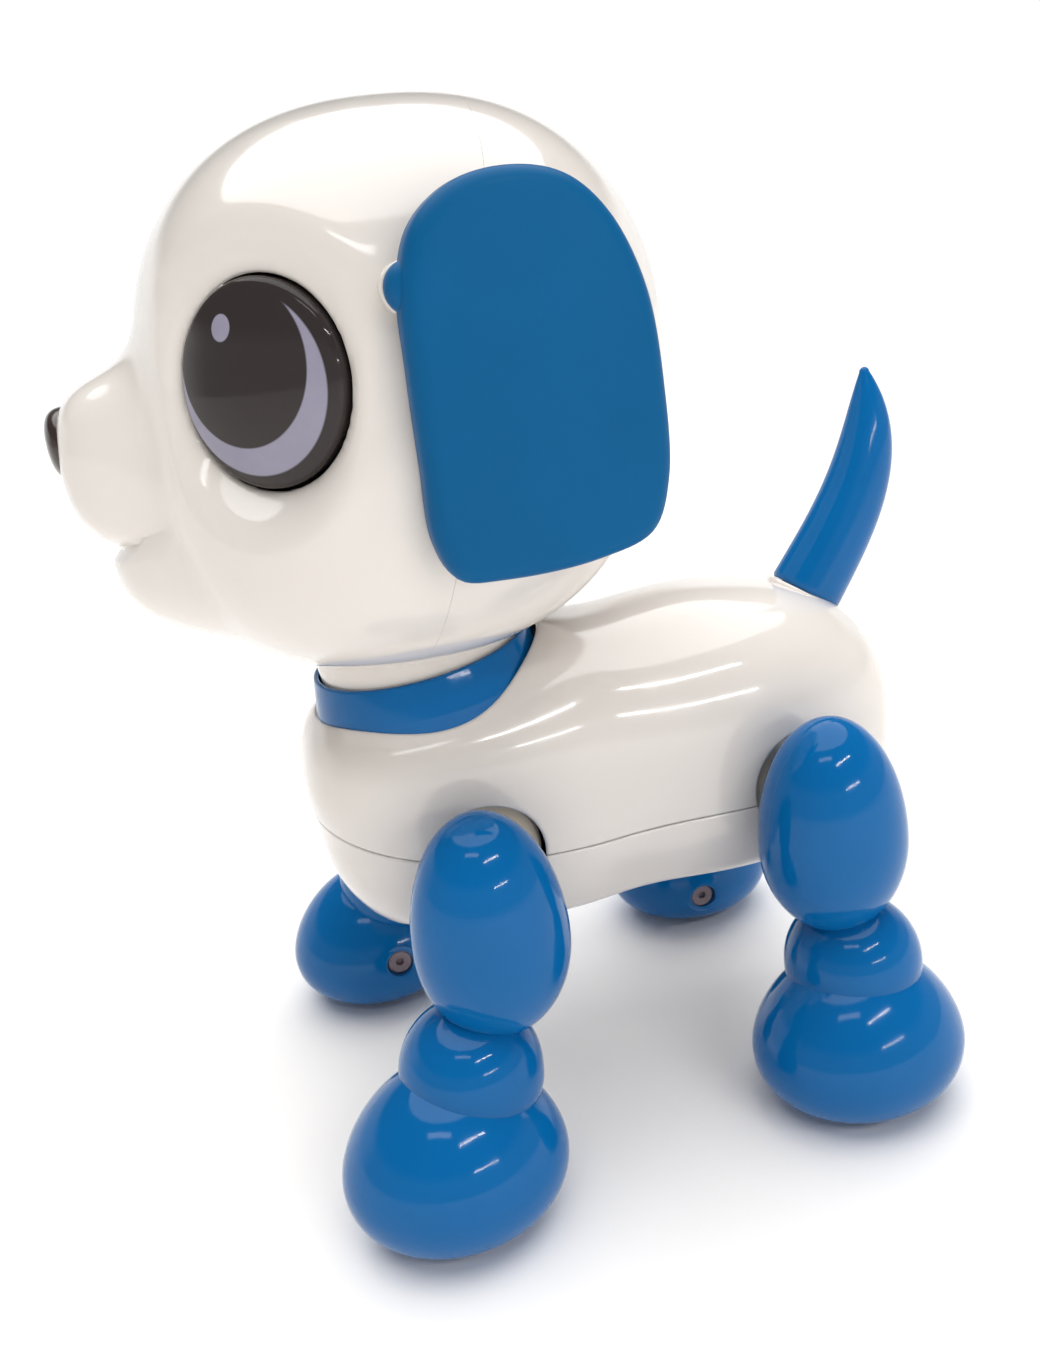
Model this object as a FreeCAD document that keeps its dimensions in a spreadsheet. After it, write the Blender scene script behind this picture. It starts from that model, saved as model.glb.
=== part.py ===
import FreeCAD
import Part
import Sketcher
import math
import os

# A walking robot dog toy, standing on four soles.
# Frame: millimetres, +Z up, the floor at z = 0, the nose towards -Y and the tail towards +Y.
# The dog's left side is +X. The origin lies on the floor below the middle of the toy.

SIZES = {
    # moulded walls and running gaps
    "wall": 1.8, "leg_wall": 1.6, "gap": 0.3, "running_gap": 0.05, "cover_gap": 0.25,
    # body: three blended bulges, a seat for the collar and a flat belly
    "chest_y": -16.5, "chest_z": 63, "chest_width": 24.2, "chest_length": 29, "chest_height": 27,
    "waist_y": 14, "waist_z": 62.5, "waist_width": 22.6, "waist_length": 32, "waist_height": 26,
    "rump_y": 39, "rump_z": 61, "rump_width": 24, "rump_length": 29.5, "rump_height": 28,
    "seat_z": 72, "seat_width": 22.5, "seat_height": 13, "belly_z": 38.6,
    # head: skull, jaw, muzzle, chin and one scooped socket on each side
    "skull_y": -17, "skull_z": 139, "skull_width": 44.3, "skull_length": 42.5, "skull_height": 41,
    "jaw_y": -23.5, "jaw_z": 116.5, "jaw_width": 41, "jaw_length": 36.5, "jaw_height": 25.5,
    "muzzle_y": -56, "muzzle_z": 130.5, "muzzle_width": 13.5, "muzzle_length": 18.2,
    "chin_y": -53, "chin_z": 113.5, "chin_width": 19, "chin_length": 16.5, "chin_height": 12.5,
    "socket_x": 47, "socket_y": -55.5, "socket_z": 143.5, "socket_radius": 19.5, "socket_height": 26,
    "head_split_y": -22, "head_split_z": 108.5, "head_split_tilt": 14,
    # neck, its collar and their common tilted axis
    "neck_y": -20.6, "neck_z": 82.5, "neck_tilt": 7, "neck_radius": 18.6, "neck_wall": 1.8,
    "neck_rise": 16, "collar_radius": 21.3, "collar_top_radius": 19.8, "collar_height": 7.8,
    "neck_flange_radius": 20.3, "neck_flange_depth": 2.5, "neck_flange_thick": 1.5,
    # face and ears
    "eye_x": 36.7, "eye_y": -42.7, "eye_z": 141.6, "eye_yaw": 40, "eye_pitch": 3, "eye_lean": 10,
    "eye_half_width": 13.6, "eye_half_height": 14.4, "eye_dome": 3.0, "eye_depth": 6,
    "nose_y": -71.2, "nose_z": 134.6, "nose_width": 7, "nose_length": 4.1, "nose_height": 5.8,
    "ear_x": 44.9, "ear_thick": 6.2, "ear_y": -7.2, "ear_z": 138, "ear_rounding": 2.6,
    "ear_pin_y": -22.4, "ear_pin_z": 151.5, "ear_pin_radius": 2, "ear_lobe_radius": 3.6,
    # legs: hips, thigh eggs, ankles and feet
    "front_hip_y": -19.5, "rear_hip_y": 41, "hip_z": 57.5, "leg_inner_x": 26.4, "leg_split_x": 37,
    "hip_opening": 10.2, "bush_inner_x": 20.4, "bush_thick": 2.5, "hub_radius": 7.5,
    "hub_inner_x": 23.2, "spigot_radius": 5, "spigot_end_x": 17.4,
    "thigh_x": 36, "thigh_width": 11.8, "thigh_length": 13.2, "thigh_above": 23, "thigh_below": 17,
    "ankle_x": 36.5, "ankle_z": 26.5, "ankle_width": 12, "ankle_length": 12.3,
    "ankle_above": 12.2, "ankle_below": 9,
    "foot_x": 39.5, "foot_z": 11.5, "foot_width": 17.2, "foot_length": 19.9,
    "foot_above": 17, "foot_below": 13.2,
    "front_thigh_y": -23.1, "front_thigh_z": 49, "front_ankle_y": -30, "front_foot_y": -34.8,
    "rear_thigh_y": 39.7, "rear_thigh_z": 51, "rear_ankle_y": 42.3, "rear_foot_y": 41.2,
    "sole_z": 0.5, "pad_radius": 8, "pad_thick": 1.3,
    # walking linkage: levers on the spigots, one sliding link on each side
    "lever_radius": 11, "lever_thick": 2.6, "lever_hub": 7.4, "lever_pin": 1.5, "lever_pin_end_x": 14.9,
    "link_inner_x": 15.2, "link_thick": 1.8, "link_height": 8.4, "link_front_y": -24.5,
    "link_rear_y": 46.5, "link_slot_gap": 0.15,
    # gear case, gears and motor
    "crank_y": 12, "crank_z": 68.5, "crank_throw": 2.7, "crank_disc": 5.2, "crank_pin": 1.4,
    "case_half_width": 12, "case_wall": 1.2, "case_front_y": 2.3, "case_rear_y": 47,
    "case_low_z": 54, "case_top_z": 78.1, "gear_step": 0.5, "axle_radius": 1, "shaft_radius": 1.8,
    "motor_width": 10, "motor_height": 12, "motor_length": 15, "motor_front_x": 5.5,
    # power: three cells side by side, their bay, the cover and the slide switch
    "cell_radius": 5.25, "cell_length": 43.5, "cell_pitch": 10.7, "cell_z": 46.7,
    "bay_front_y": 1.65, "bay_rear_y": 48.6, "bay_half_width": 16.45, "bay_top_z": 52,
    "cover_rear_y": 55.6, "switch_y": -6, "switch_travel": 3,
    # screws
    "screw_radius": 1.3, "screw_head_radius": 2.7, "screw_head_height": 1.7, "screw_length": 14,
    "post_radius": 4, "recess_radius": 2.9,
    # tail
    "tail_y": 55.7, "tail_z": 85.1, "tail_lean": 35.8, "tail_flatness": 0.85,
    "tail_peg_radius": 2.5, "tail_peg_length": 9, "tail_pedestal_radius": 7.8, "tail_nest_radius": 8.2,
}

doc = FreeCAD.newDocument("RobotDog")
sheet = doc.addObject("Spreadsheet::Sheet", "Sizes")
for row, (alias, number) in enumerate(SIZES.items(), start=1):
    sheet.set("A%d" % row, alias)
    sheet.set("B%d" % row, str(number))
    sheet.setAlias("B%d" % row, alias)
doc.recompute()

Vector = FreeCAD.Vector
Rotation = FreeCAD.Rotation
Placement = FreeCAD.Placement
UPRIGHT = Rotation()
ALONG_X = Rotation(Vector(0, 1, 0), 90)
ALONG_Y = Rotation(Vector(1, 0, 0), -90)
FAR = 200
pieces = []


# ---------------------------------------------------------------- sizes with formulas

class Size:
    """A number together with the spreadsheet formula that gives it."""

    def __init__(self, number, text=None):
        self.number = float(number)
        self.text = repr(float(number)) if text is None else text

    def combined(self, sign, other, number):
        return Size(number, "(%s %s %s)" % (self.text, sign, as_size(other).text))

    def __add__(self, other):
        return self.combined("+", other, self.number + float(other))

    def __sub__(self, other):
        return self.combined("-", other, self.number - float(other))

    def __mul__(self, other):
        return self.combined("*", other, self.number * float(other))

    def __radd__(self, other):
        return as_size(other) + self

    def __rsub__(self, other):
        return as_size(other) - self

    def __rmul__(self, other):
        return as_size(other) * self

    def __neg__(self):
        return self * -1

    def __float__(self):
        return self.number


def as_size(value):
    return value if isinstance(value, Size) else Size(value)


def size(alias):
    """The spreadsheet's value for an alias, bound to its cell."""
    return Size(sheet.get(alias), "Sizes." + alias)


def bind(feature, path, value):
    feature.setExpression(path, as_size(value).text)


def place(feature, position, turn=UPRIGHT):
    feature.Placement = Placement(Vector(*[float(value) for value in position]), turn)
    for axis, value in zip("xyz", position):
        bind(feature, "Placement.Base." + axis, value)


# ---------------------------------------------------------------- solids

def box(name, low, high):
    """A box from its lowest corner to its highest corner."""
    solid = doc.addObject("Part::Box", name)
    for side, start, end in zip(("Length", "Width", "Height"), low, high):
        bind(solid, side, end - as_size(start))
    place(solid, low)
    return solid


def cylinder(name, radius, length, start, turn=UPRIGHT):
    solid = doc.addObject("Part::Cylinder", name)
    bind(solid, "Radius", radius)
    bind(solid, "Height", length)
    place(solid, start, turn)
    return solid


def ellipsoid(name, centre, radii, turn=UPRIGHT, low_angle=-90, high_angle=90):
    """An ellipsoid, or the part of it above or below its equator."""
    solid = doc.addObject("Part::Ellipsoid", name)
    bind(solid, "Radius1", radii[2])
    bind(solid, "Radius2", radii[0])
    bind(solid, "Radius3", radii[1])
    solid.Angle1 = low_angle
    solid.Angle2 = high_angle
    place(solid, centre, turn)
    return solid


def fuse(name, solids):
    joined = doc.addObject("Part::MultiFuse", name)
    joined.Shapes = solids
    return joined


def common(name, first, second):
    shared = doc.addObject("Part::Common", name)
    shared.Base = first
    shared.Tool = second
    return shared


def cut(name, base, tools):
    remainder = doc.addObject("Part::Cut", name)
    remainder.Base = base
    remainder.Tool = tools[0] if len(tools) == 1 else fuse(name + "_tools", tools)
    return remainder


def cut_in_turn(name, base, tools):
    """The base with one tool after another taken away."""
    for number, tool in enumerate(tools[:-1]):
        base = cut("%s_step_%d" % (name, number), base, [tool])
    return cut(name, base, tools[-1:])


def group(name, solids):
    """Identical pieces that stay separate solids."""
    compound = doc.addObject("Part::Compound", name)
    compound.Links = solids
    return compound


def mirrored(name, source):
    """The same shape on the other side of the toy's middle plane."""
    copy = doc.addObject("Part::Mirroring", name)
    copy.Source = source
    copy.Normal = Vector(1, 0, 0)
    return copy


def piece(feature, label):
    """Names a finished piece and lists it for writing."""
    feature.Label = label
    pieces.append(feature)
    return feature


def prism(name, face_feature, length, turn):
    """A straight extrusion along the turned Z axis."""
    solid = doc.addObject("Part::Extrusion", name)
    solid.Base = face_feature
    solid.DirMode = "Custom"
    solid.Dir = turn.multVec(Vector(0, 0, 1))
    bind(solid, "LengthFwd", length)
    solid.Solid = True
    return solid


# ---------------------------------------------------------------- sketched bodies

def new_body(name, position=(0, 0, 0), turn=UPRIGHT):
    body = doc.addObject("PartDesign::Body", name)
    place(body, position, turn)
    return body


def new_sketch(body, role, name):
    sketch = body.newObject("Sketcher::SketchObject", name)
    plane = [item for item in body.Origin.OriginFeatures if item.Role == role][0]
    sketch.AttachmentSupport = [(plane, "")]
    sketch.MapMode = "FlatFace"
    return sketch


def fix_point(sketch, line, coordinates):
    """Ties the start point of a line to the sketch's origin by sheet formulas."""
    for kind, axis, value in (("DistanceX", -2, coordinates[0]), ("DistanceY", -1, coordinates[1])):
        if abs(float(value)) < 1e-9:
            sketch.addConstraint(Sketcher.Constraint("PointOnObject", line, 1, axis))
            continue
        index = sketch.addConstraint(Sketcher.Constraint(kind, -1, 1, line, 1, float(value)))
        bind(sketch, "Constraints[%d]" % index, value)


def draw_polygon(sketch, corners):
    """A closed outline of straight lines, each corner bound to the sheet."""
    points = [Vector(float(across), float(along), 0) for across, along in corners]
    first = sketch.GeometryCount
    count = len(points)
    for number in range(count):
        sketch.addGeometry(Part.LineSegment(points[number], points[(number + 1) % count]))
    for number in range(count):
        after = first + (number + 1) % count
        sketch.addConstraint(Sketcher.Constraint("Coincident", first + number, 2, after, 1))
    for number, corner in enumerate(corners):
        fix_point(sketch, first + number, corner)


def draw_rectangle(sketch, low, high):
    draw_polygon(sketch, [low, (high[0], low[1]), high, (low[0], high[1])])


def pad(body, sketch, length):
    feature = body.newObject("PartDesign::Pad", body.Name + "_pad")
    feature.Profile = sketch
    bind(feature, "Length", length)
    return feature


def turned_body(name, corners, position=(0, 0, 0), turn=UPRIGHT):
    """A body of revolution about its own Z axis from a radius and height outline."""
    body = new_body(name, position, turn)
    sketch = new_sketch(body, "XZ_Plane", name + "_outline")
    draw_polygon(sketch, corners)
    feature = body.newObject("PartDesign::Revolution", name + "_revolution")
    feature.Profile = sketch
    feature.ReferenceAxis = (sketch, ["V_Axis"])
    feature.Angle = 360
    return body


# ---------------------------------------------------------------- smooth moulded shapes

def bulge(point, centre, radii, power):
    """Signed size of a rounded box-like ellipsoid: negative inside, zero on its surface."""
    total = sum((abs(place_ - middle) / radius) ** power
                for place_, middle, radius in zip(point, centre, radii))
    return (total ** (1.0 / power) - 1.0) * min(radii)


def blend(first, second, width):
    """Union of two shapes with a soft fillet of the given width."""
    share = min(1.0, max(0.0, 0.5 + 0.5 * (second - first) / width))
    return second * (1 - share) + first * share - width * share * (1 - share)


def carve(first, second, width):
    """Intersection of two shapes with a soft edge."""
    return -blend(-first, -second, width)


def three(prefix, names):
    return tuple(float(size(prefix + "_" + name)) for name in names)


def body_shape(point):
    across, along, up = abs(point[0]), point[1], point[2]
    point = (across, along, up)
    shape = None
    for name, power, width in (("chest", 2.5, 0), ("waist", 2.7, 14), ("rump", 2.4, 12)):
        part = bulge(point, (0,) + LOBES[name][:2], LOBES[name][2:], power)
        shape = part if shape is None else blend(shape, part, width)
    seat = bulge(point, (0, SEAT[0], SEAT[1]), (SEAT[2], SEAT[2], SEAT[3]), 3)
    return carve(blend(shape, seat, 5), SEAT[4] - up, 5)


def head_shape(point):
    point = (abs(point[0]), point[1], point[2])
    shape = bulge(point, (0,) + LOBES["skull"][:2], LOBES["skull"][2:], 2.3)
    shape = blend(shape, bulge(point, (0,) + LOBES["jaw"][:2], LOBES["jaw"][2:], 2.2), 10)
    shape = blend(shape, round_bulge(point, (0,) + LOBES["muzzle"][:2], LOBES["muzzle"][2:]), 10)
    shape = blend(shape, round_bulge(point, (0,) + LOBES["chin"][:2], LOBES["chin"][2:]), 7)
    return carve(shape, -round_bulge(point, SOCKET[:3], SOCKET[3:]), 6)


def round_bulge(point, centre, radii):
    """Signed distance, nearly true, to an ellipsoid."""
    offset = [place_ - middle for place_, middle in zip(point, centre)]
    near = math.sqrt(sum((value / radius) ** 2 for value, radius in zip(offset, radii)))
    slope = math.sqrt(sum((value / radius ** 2) ** 2 for value, radius in zip(offset, radii)))
    return near * (near - 1.0) / (slope + 1e-9)


def lobe(name, width, length, height):
    return three(name, ("y", "z")) + (width, length, height)


LOBES = {name: lobe(name, *three(name, ("width", "length", "height")))
         for name in ("chest", "waist", "rump", "skull", "jaw", "chin")}
MUZZLE_WIDTH = float(size("muzzle_width"))
LOBES["muzzle"] = lobe("muzzle", MUZZLE_WIDTH, float(size("muzzle_length")), MUZZLE_WIDTH)
SEAT = (float(size("neck_y")),) + three("seat", ("z", "width", "height")) + (float(size("belly_z")),)
SOCKET = three("socket", ("x", "y", "z", "radius", "radius", "height"))


def reach(shape, start, direction, depth):
    """Distance from an inner point to the surface that lies the given depth under the skin."""
    near, far = 0.0, 120.0
    for _ in range(26):
        middle = (near + far) / 2
        point = [value + step * middle for value, step in zip(start, direction)]
        if shape(point) < -depth:
            near = middle
        else:
            far = middle
    return near


def moulded_solid(name, shape, centre, depth, section_count, point_count):
    """A smooth solid through upright sections from the front of the shape to its back."""
    front = centre[1] - reach(shape, centre, (0, -1, 0), depth)
    back = centre[1] + reach(shape, centre, (0, 1, 0), depth)
    cap = 0.15
    half = (back - front) / 2 - cap
    wires = []
    for section in range(section_count):
        along = (front + back) / 2 - half * math.cos(math.pi * section / (section_count - 1))
        points = []
        for number in range(point_count):
            angle = 2 * math.pi * number / point_count
            direction = (math.sin(angle), 0, math.cos(angle))
            radius = reach(shape, (0, along, centre[2]), direction, depth)
            points.append(Vector(radius * direction[0], along, centre[2] + radius * direction[2]))
        curve = Part.BSplineCurve()
        steps = [number / point_count for number in range(point_count + 1)]
        curve.interpolate(Points=points, Parameters=steps, PeriodicFlag=True)
        wires.append(Part.Wire([curve.toShape()]))
    feature = doc.addObject("Part::Feature", name)
    feature.Shape = Part.makeLoft(wires, True, False)
    return feature


# ---------------------------------------------------------------- screws

def screw(name, seat, turn, length=None, radius=None):
    """A pan-head screw; its seat is under the head and its shank follows the turned Z axis."""
    radius = size("screw_radius") if radius is None else radius
    length = size("screw_length") if length is None else length
    scale = float(radius) / float(size("screw_radius"))
    head_radius = size("screw_head_radius") * scale
    head_height = size("screw_head_height") * scale
    shank = cylinder(name + "_shank", radius, length, (0, 0, 0))
    head = cylinder(name + "_head", head_radius, head_height, (0, 0, -head_height))
    slot = radius * 0.3
    depth = head_height * 0.5
    cross = [box(name + "_slot_a", (-radius, -slot, -head_height), (radius, slot, depth - head_height)),
             box(name + "_slot_b", (-slot, -radius, -head_height), (slot, radius, depth - head_height))]
    blank = fuse(name + "_blank", [shank, head])
    finished = cut(name, blank, cross)
    place(finished, seat, turn)
    return finished


def screw_hole(name, seat, turn, recess, length=None, radius=None):
    """The space a screw takes: its shank, and a recess that reaches back from the seat."""
    radius = size("screw_radius") if radius is None else radius
    length = size("screw_length") if length is None else length
    scale = float(radius) / float(size("screw_radius"))
    back = turn.multVec(Vector(0, 0, -1)) * float(recess)
    start = [as_size(value) + shift for value, shift in zip(seat, back)]
    shank = cylinder(name + "_shank", radius, length, seat, turn)
    head_room = cylinder(name + "_recess", size("recess_radius") * scale, recess, start, turn)
    return fuse(name, [shank, head_room])


# ---------------------------------------------------------------- body shell

NECK_TURN = Rotation(Vector(1, 0, 0), float(size("neck_tilt")))
TAIL_TURN = Rotation(Vector(1, 0, 0), -float(size("tail_lean")))
NECK = (0, size("neck_y"), size("neck_z"))
TAIL = (0, size("tail_y"), size("tail_z"))
SIDES = (("left", 1), ("right", -1))
HIPS = {"front": size("front_hip_y"), "rear": size("rear_hip_y")}


def along_axis(origin, turn, station):
    """The point at a distance along a tilted axis, as coordinates bound to its origin."""
    step = turn.multVec(Vector(0, 0, 1))
    return [as_size(value) + size_step * station for value, size_step in zip(origin, step)]


def neck_point(station):
    return along_axis(NECK, NECK_TURN, station)


def tail_point(station):
    return along_axis(TAIL, TAIL_TURN, station)


def hip_openings():
    """Four round openings through the shell's sides."""
    tools = []
    for end, along in HIPS.items():
        start = (-FAR / 2, along, size("hip_z"))
        tools.append(cylinder("hip_opening_" + end, size("hip_opening"), FAR, start, ALONG_X))
    return tools


BODY_SEAT_Z = 50
BODY_SCREWS = ((11.5, -32), (-11.5, -32), (11, 57), (-11, 57))
SPEAKER_Y = -21.5
SPEAKER_RADIUS = 8
SPEAKER_Z = 44


def cell_bay():
    """The upright walls and roof that hold the cells, with a screw boss behind them."""
    wall = size("case_wall")
    half = size("bay_half_width") + wall
    low = (-half, size("bay_front_y") - wall, size("belly_z"))
    high = (half, size("bay_rear_y") + wall, size("bay_top_z") + wall)
    boss_start = (0, size("cover_rear_y") - 3.4, size("belly_z") + 3.9)
    return [box("bay_block", low, high), cylinder("cover_boss", 3, 9, boss_start)]


def bay_space():
    low = (-size("bay_half_width"), size("bay_front_y"), size("belly_z") - 5)
    high = (size("bay_half_width"), size("bay_rear_y"), size("bay_top_z"))
    return box("bay_space", low, high)


def cover_region(name, gap):
    """The part of the belly that the battery cover takes, grown by a gap."""
    half = size("bay_half_width") - 0.25 + gap
    low = (-half, size("bay_front_y") + 0.25 - gap, size("belly_z") - 5)
    high = (half, size("cover_rear_y") + gap, size("belly_z") + 3.9)
    return box(name, low, high)


def parting_tool(name, above):
    """A block with the body's parting line as its lower or upper face: level, rising at the chest."""
    level = 55.2
    far = FAR / 2
    start = Vector(-far, 12, level)
    middle = Vector(-far, -24, level + 2.2)
    end = Vector(-far, -60, level + 21)
    edge = far if above else -far
    corners = [end, Vector(-far, -far, level + 21), Vector(-far, -far, edge), Vector(-far, far, edge),
               Vector(-far, far, level), start]
    lines = [Part.LineSegment(corners[i], corners[i + 1]).toShape() for i in range(len(corners) - 1)]
    rise = Part.Arc(start, middle, end).toShape()
    face = Part.Face(Part.Wire([rise] + lines))
    feature = doc.addObject("Part::Feature", name)
    feature.Shape = face.extrude(Vector(FAR, 0, 0))
    return feature


def body_ribs(core):
    """Screw posts, speaker ring, switch posts and cell bay, all trimmed to the middle of the wall."""
    posts = []
    for number, (across, along) in enumerate(BODY_SCREWS):
        length = 37 if along < 0 else 60
        posts.append(cylinder("body_post_%d" % number, size("post_radius"), length, (across, along, 38)))
    speaker_post = cylinder("speaker_post", SPEAKER_RADIUS, 7, (0, SPEAKER_Y, SPEAKER_Z - 7))
    switch_posts = [cylinder("switch_post_%d" % number, 1.6, 5, (side * 8, size("switch_y"), 37.2))
                    for number, side in enumerate((1, -1))]
    webs = [box("post_web_" + side, (sign * 11.5 - 0.8, -46, 40), (sign * 11.5 + 0.8, -32, 75))
            for side, sign in SIDES]
    inner = fuse("body_inner", posts + webs + [speaker_post] + switch_posts + cell_bay())
    return common("body_ribs", inner, core)


def upper_shell_holes():
    """The neck hole and the tail's bore."""
    neck_hole = size("neck_radius") + size("gap")
    peg_hole = size("tail_peg_radius") + size("running_gap")
    return [cylinder("neck_hole", neck_hole, 10, neck_point(-5), NECK_TURN),
            cylinder("tail_hole", peg_hole, 14, tail_point(-12), TAIL_TURN)]


def lower_shell_holes():
    """The speaker's grille, the switch slot, the cell bay and the opening for its cover."""
    speaker = [cylinder("speaker_bore", SPEAKER_RADIUS - 1.4, 10, (0, SPEAKER_Y, 41.5))]
    grille = [cylinder("grille_%d" % number, 0.9, 8, speaker_hole(number)) for number in range(7)]
    slot_z = size("belly_z")
    slot = box("switch_slot", (-4.3, size("switch_y") - 2.2, slot_z - 5),
               (4.3, size("switch_y") + 2.2, slot_z + 3))
    cover_seat = (0, size("cover_rear_y") - 3.4, size("belly_z") + 2.2)
    return speaker + [group("grille", grille), slot, bay_space(),
                      cover_region("cover_opening", size("cover_gap")),
                      screw_hole("cover_screw_bore", cover_seat, UPRIGHT, 1, 8)]


def make_body_shell():
    """The hollow body in two halves; returns its outer skin for the battery cover."""
    centre = (0, 9.5, 62)
    wall = size("wall")
    outer = moulded_solid("body_outer", body_shape, centre, 0, 22, 28)
    core = moulded_solid("body_core", body_shape, centre, float(wall) / 2, 22, 28)
    cavity = moulded_solid("body_cavity", body_shape, centre, float(wall), 22, 28)
    seat_room = cylinder("seat_room", size("collar_radius") + wall, 30, neck_point(-wall), NECK_TURN)
    hollow = cut("body_hollow", cavity, [seat_room])
    nest_radius = size("collar_radius") + size("running_gap")
    nest = cylinder("collar_nest", nest_radius, 30, neck_point(0), NECK_TURN)
    tail_nest = cylinder("tail_nest", size("tail_nest_radius"), 30, tail_point(-0.2), TAIL_TURN)
    nested = cut_in_turn("body_nested", outer, [nest, tail_nest])
    above = parting_tool("above_parting", True)
    below = parting_tool("below_parting", False)
    ribs = body_ribs(core)
    pedestal = cylinder("pedestal", size("tail_pedestal_radius"), 6, tail_point(-6.3), TAIL_TURN)
    shared = [group("hip_openings", hip_openings()),
              group("body_screw_holes", [screw_hole("body_screw_hole_%d" % number,
                                                    (across, along, BODY_SEAT_Z), UPRIGHT, 16)
                                         for number, (across, along) in enumerate(BODY_SCREWS)])]
    upper_skin = cut("upper_skin", common("nested_above", nested, above), [hollow])
    lower_skin = cut("lower_skin", common("outer_below", outer, below), [hollow])
    upper = fuse("upper_with_ribs", [upper_skin, common("ribs_above", ribs, above), pedestal])
    lower = fuse("lower_with_ribs", [lower_skin, common("ribs_below", ribs, below)])
    piece(cut_in_turn("body_upper_shell", upper, shared + upper_shell_holes()), "body_upper_shell")
    piece(cut_in_turn("body_lower_shell", lower, shared + lower_shell_holes()), "body_lower_shell")
    return lower_skin


def speaker_hole(number):
    """The centre of the grille and the six holes around it."""
    if number == 0:
        return (0, SPEAKER_Y, 36)
    angle = math.radians(60 * number)
    return (4.2 * math.cos(angle), SPEAKER_Y + 4.2 * math.sin(angle), 36)


def both_sides(name, solids):
    """Left-hand solids and their mirror images as one piece of separate solids."""
    left = group(name + "_left_side", solids)
    return group(name, solids + [mirrored(name + "_right_side", left)])


def make_hip_bushes():
    """Plain bearing rings, one in each hip opening."""
    bore = size("spigot_radius") + size("running_gap")
    rim = size("hip_opening")
    thick = size("bush_thick")
    outline = [(bore, 0), (rim, 0), (rim, thick - 0.5), (rim - 0.5, thick), (bore, thick)]
    rings = [turned_body("hip_bush_" + end, outline, (size("bush_inner_x"), along, size("hip_z")), ALONG_X)
             for end, along in HIPS.items()]
    piece(both_sides("hip_bushes", rings), "hip_bushes")


def make_body_screws():
    screws = [screw("body_screw_%d" % number, (across, along, BODY_SEAT_Z), UPRIGHT)
              for number, (across, along) in enumerate(BODY_SCREWS)]
    piece(group("body_screws", screws), "body_screws")


# ---------------------------------------------------------------- collar, neck and head

def make_collar():
    """A tapered band with rounded edges that rests in the nest of the body."""
    inner = size("neck_radius") + size("gap")
    low = size("collar_radius")
    top = size("collar_top_radius")
    high = size("collar_height")
    outline = [(inner, 0), (low - 0.3, 0), (low, 1), (top, high - 0.6), (top - 0.5, high), (inner, high)]
    piece(turned_body("collar", outline, neck_point(0), NECK_TURN), "collar")


def make_neck():
    """The head's turning tube, with a flange that holds it under the body's top wall."""
    outer = size("neck_radius")
    inner = outer - size("neck_wall")
    flange = size("neck_flange_radius")
    depth = size("neck_flange_depth")
    low = -(depth + size("neck_flange_thick"))
    outline = [(inner, low), (flange, low), (flange, -depth), (outer, -depth),
               (outer, size("neck_rise")), (inner, size("neck_rise"))]
    piece(turned_body("neck_tube", outline, neck_point(0), NECK_TURN), "neck_tube")


def eye_directions():
    """The eye's sideways, upward and outward directions."""
    yaw = math.radians(float(size("eye_yaw")))
    pitch = math.radians(float(size("eye_pitch")))
    out = Vector(math.cos(yaw) * math.cos(pitch), -math.sin(yaw) * math.cos(pitch), math.sin(pitch))
    sideways = Vector(math.sin(yaw), math.cos(yaw), 0)
    return sideways, out.cross(sideways), out


def eye_turn():
    """Z points out of the eye, and the top of the oval leans towards the ear."""
    sideways, upward, out = eye_directions()
    lean = Rotation(Vector(0, 0, 1), -float(size("eye_lean")))
    return Rotation(sideways, upward, out, "ZXY").multiply(lean)


EYE = (size("eye_x"), size("eye_y"), size("eye_z"))


def eye_prism(name, grow):
    """The straight oval plug of an eye, from its rim plane back into the head."""
    ring = doc.addObject("Part::Ellipse", name + "_outline")
    bind(ring, "MajorRadius", size("eye_half_height") + grow)
    bind(ring, "MinorRadius", size("eye_half_width") + grow)
    turn = eye_turn()
    place(ring, EYE, turn.multiply(Rotation(Vector(0, 0, 1), 90)))
    backwards = turn.multiply(Rotation(Vector(1, 0, 0), 180))
    return prism(name, ring, size("eye_depth"), backwards)


def make_eyes():
    dome_radii = (size("eye_half_width"), size("eye_half_height"), size("eye_dome"))
    dome = ellipsoid("eye_dome", EYE, dome_radii, eye_turn(), low_angle=0)
    blank = fuse("eye_blank", [dome, eye_prism("eye_plug", 0)])
    lamp_start = along_axis(EYE, eye_turn(), -8)
    bore = cylinder("lamp_bore", 2.5, 4.5, lamp_start, eye_turn())
    eye = cut("eye_left", blank, [bore])
    piece(eye, "eye_left")
    piece(mirrored("eye_right", eye), "eye_right")
    lamp = fuse("lamp", [cylinder("lamp_body", 2.5, 5, along_axis(EYE, eye_turn(), -8.5), eye_turn()),
                         cylinder("lamp_rim", 2.9, 1, along_axis(EYE, eye_turn(), -8.5), eye_turn())])
    piece(both_sides("eye_lights", [lamp]), "eye_lights")


HEAD_SCREWS = ((24, 118, -13), (-24, 118, -13), (14, 160, -4), (-14, 160, -4))
BACKWARDS = Rotation(Vector(1, 0, 0), 90)


def head_screw_seat(spot):
    return (spot[0], spot[2], spot[1])


def ear_boss():
    """The round seat on the head that an ear turns against."""
    start = (38.6, size("ear_pin_y"), size("ear_pin_z"))
    length = size("ear_x") - size("gap") - 38.6
    return cylinder("ear_boss_left", size("ear_lobe_radius"), length, start, ALONG_X)


def ear_pin_hole():
    start = (30, size("ear_pin_y"), size("ear_pin_z"))
    radius = size("ear_pin_radius") + size("running_gap")
    return cylinder("ear_pin_hole_left", radius, 20, start, ALONG_X)


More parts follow.
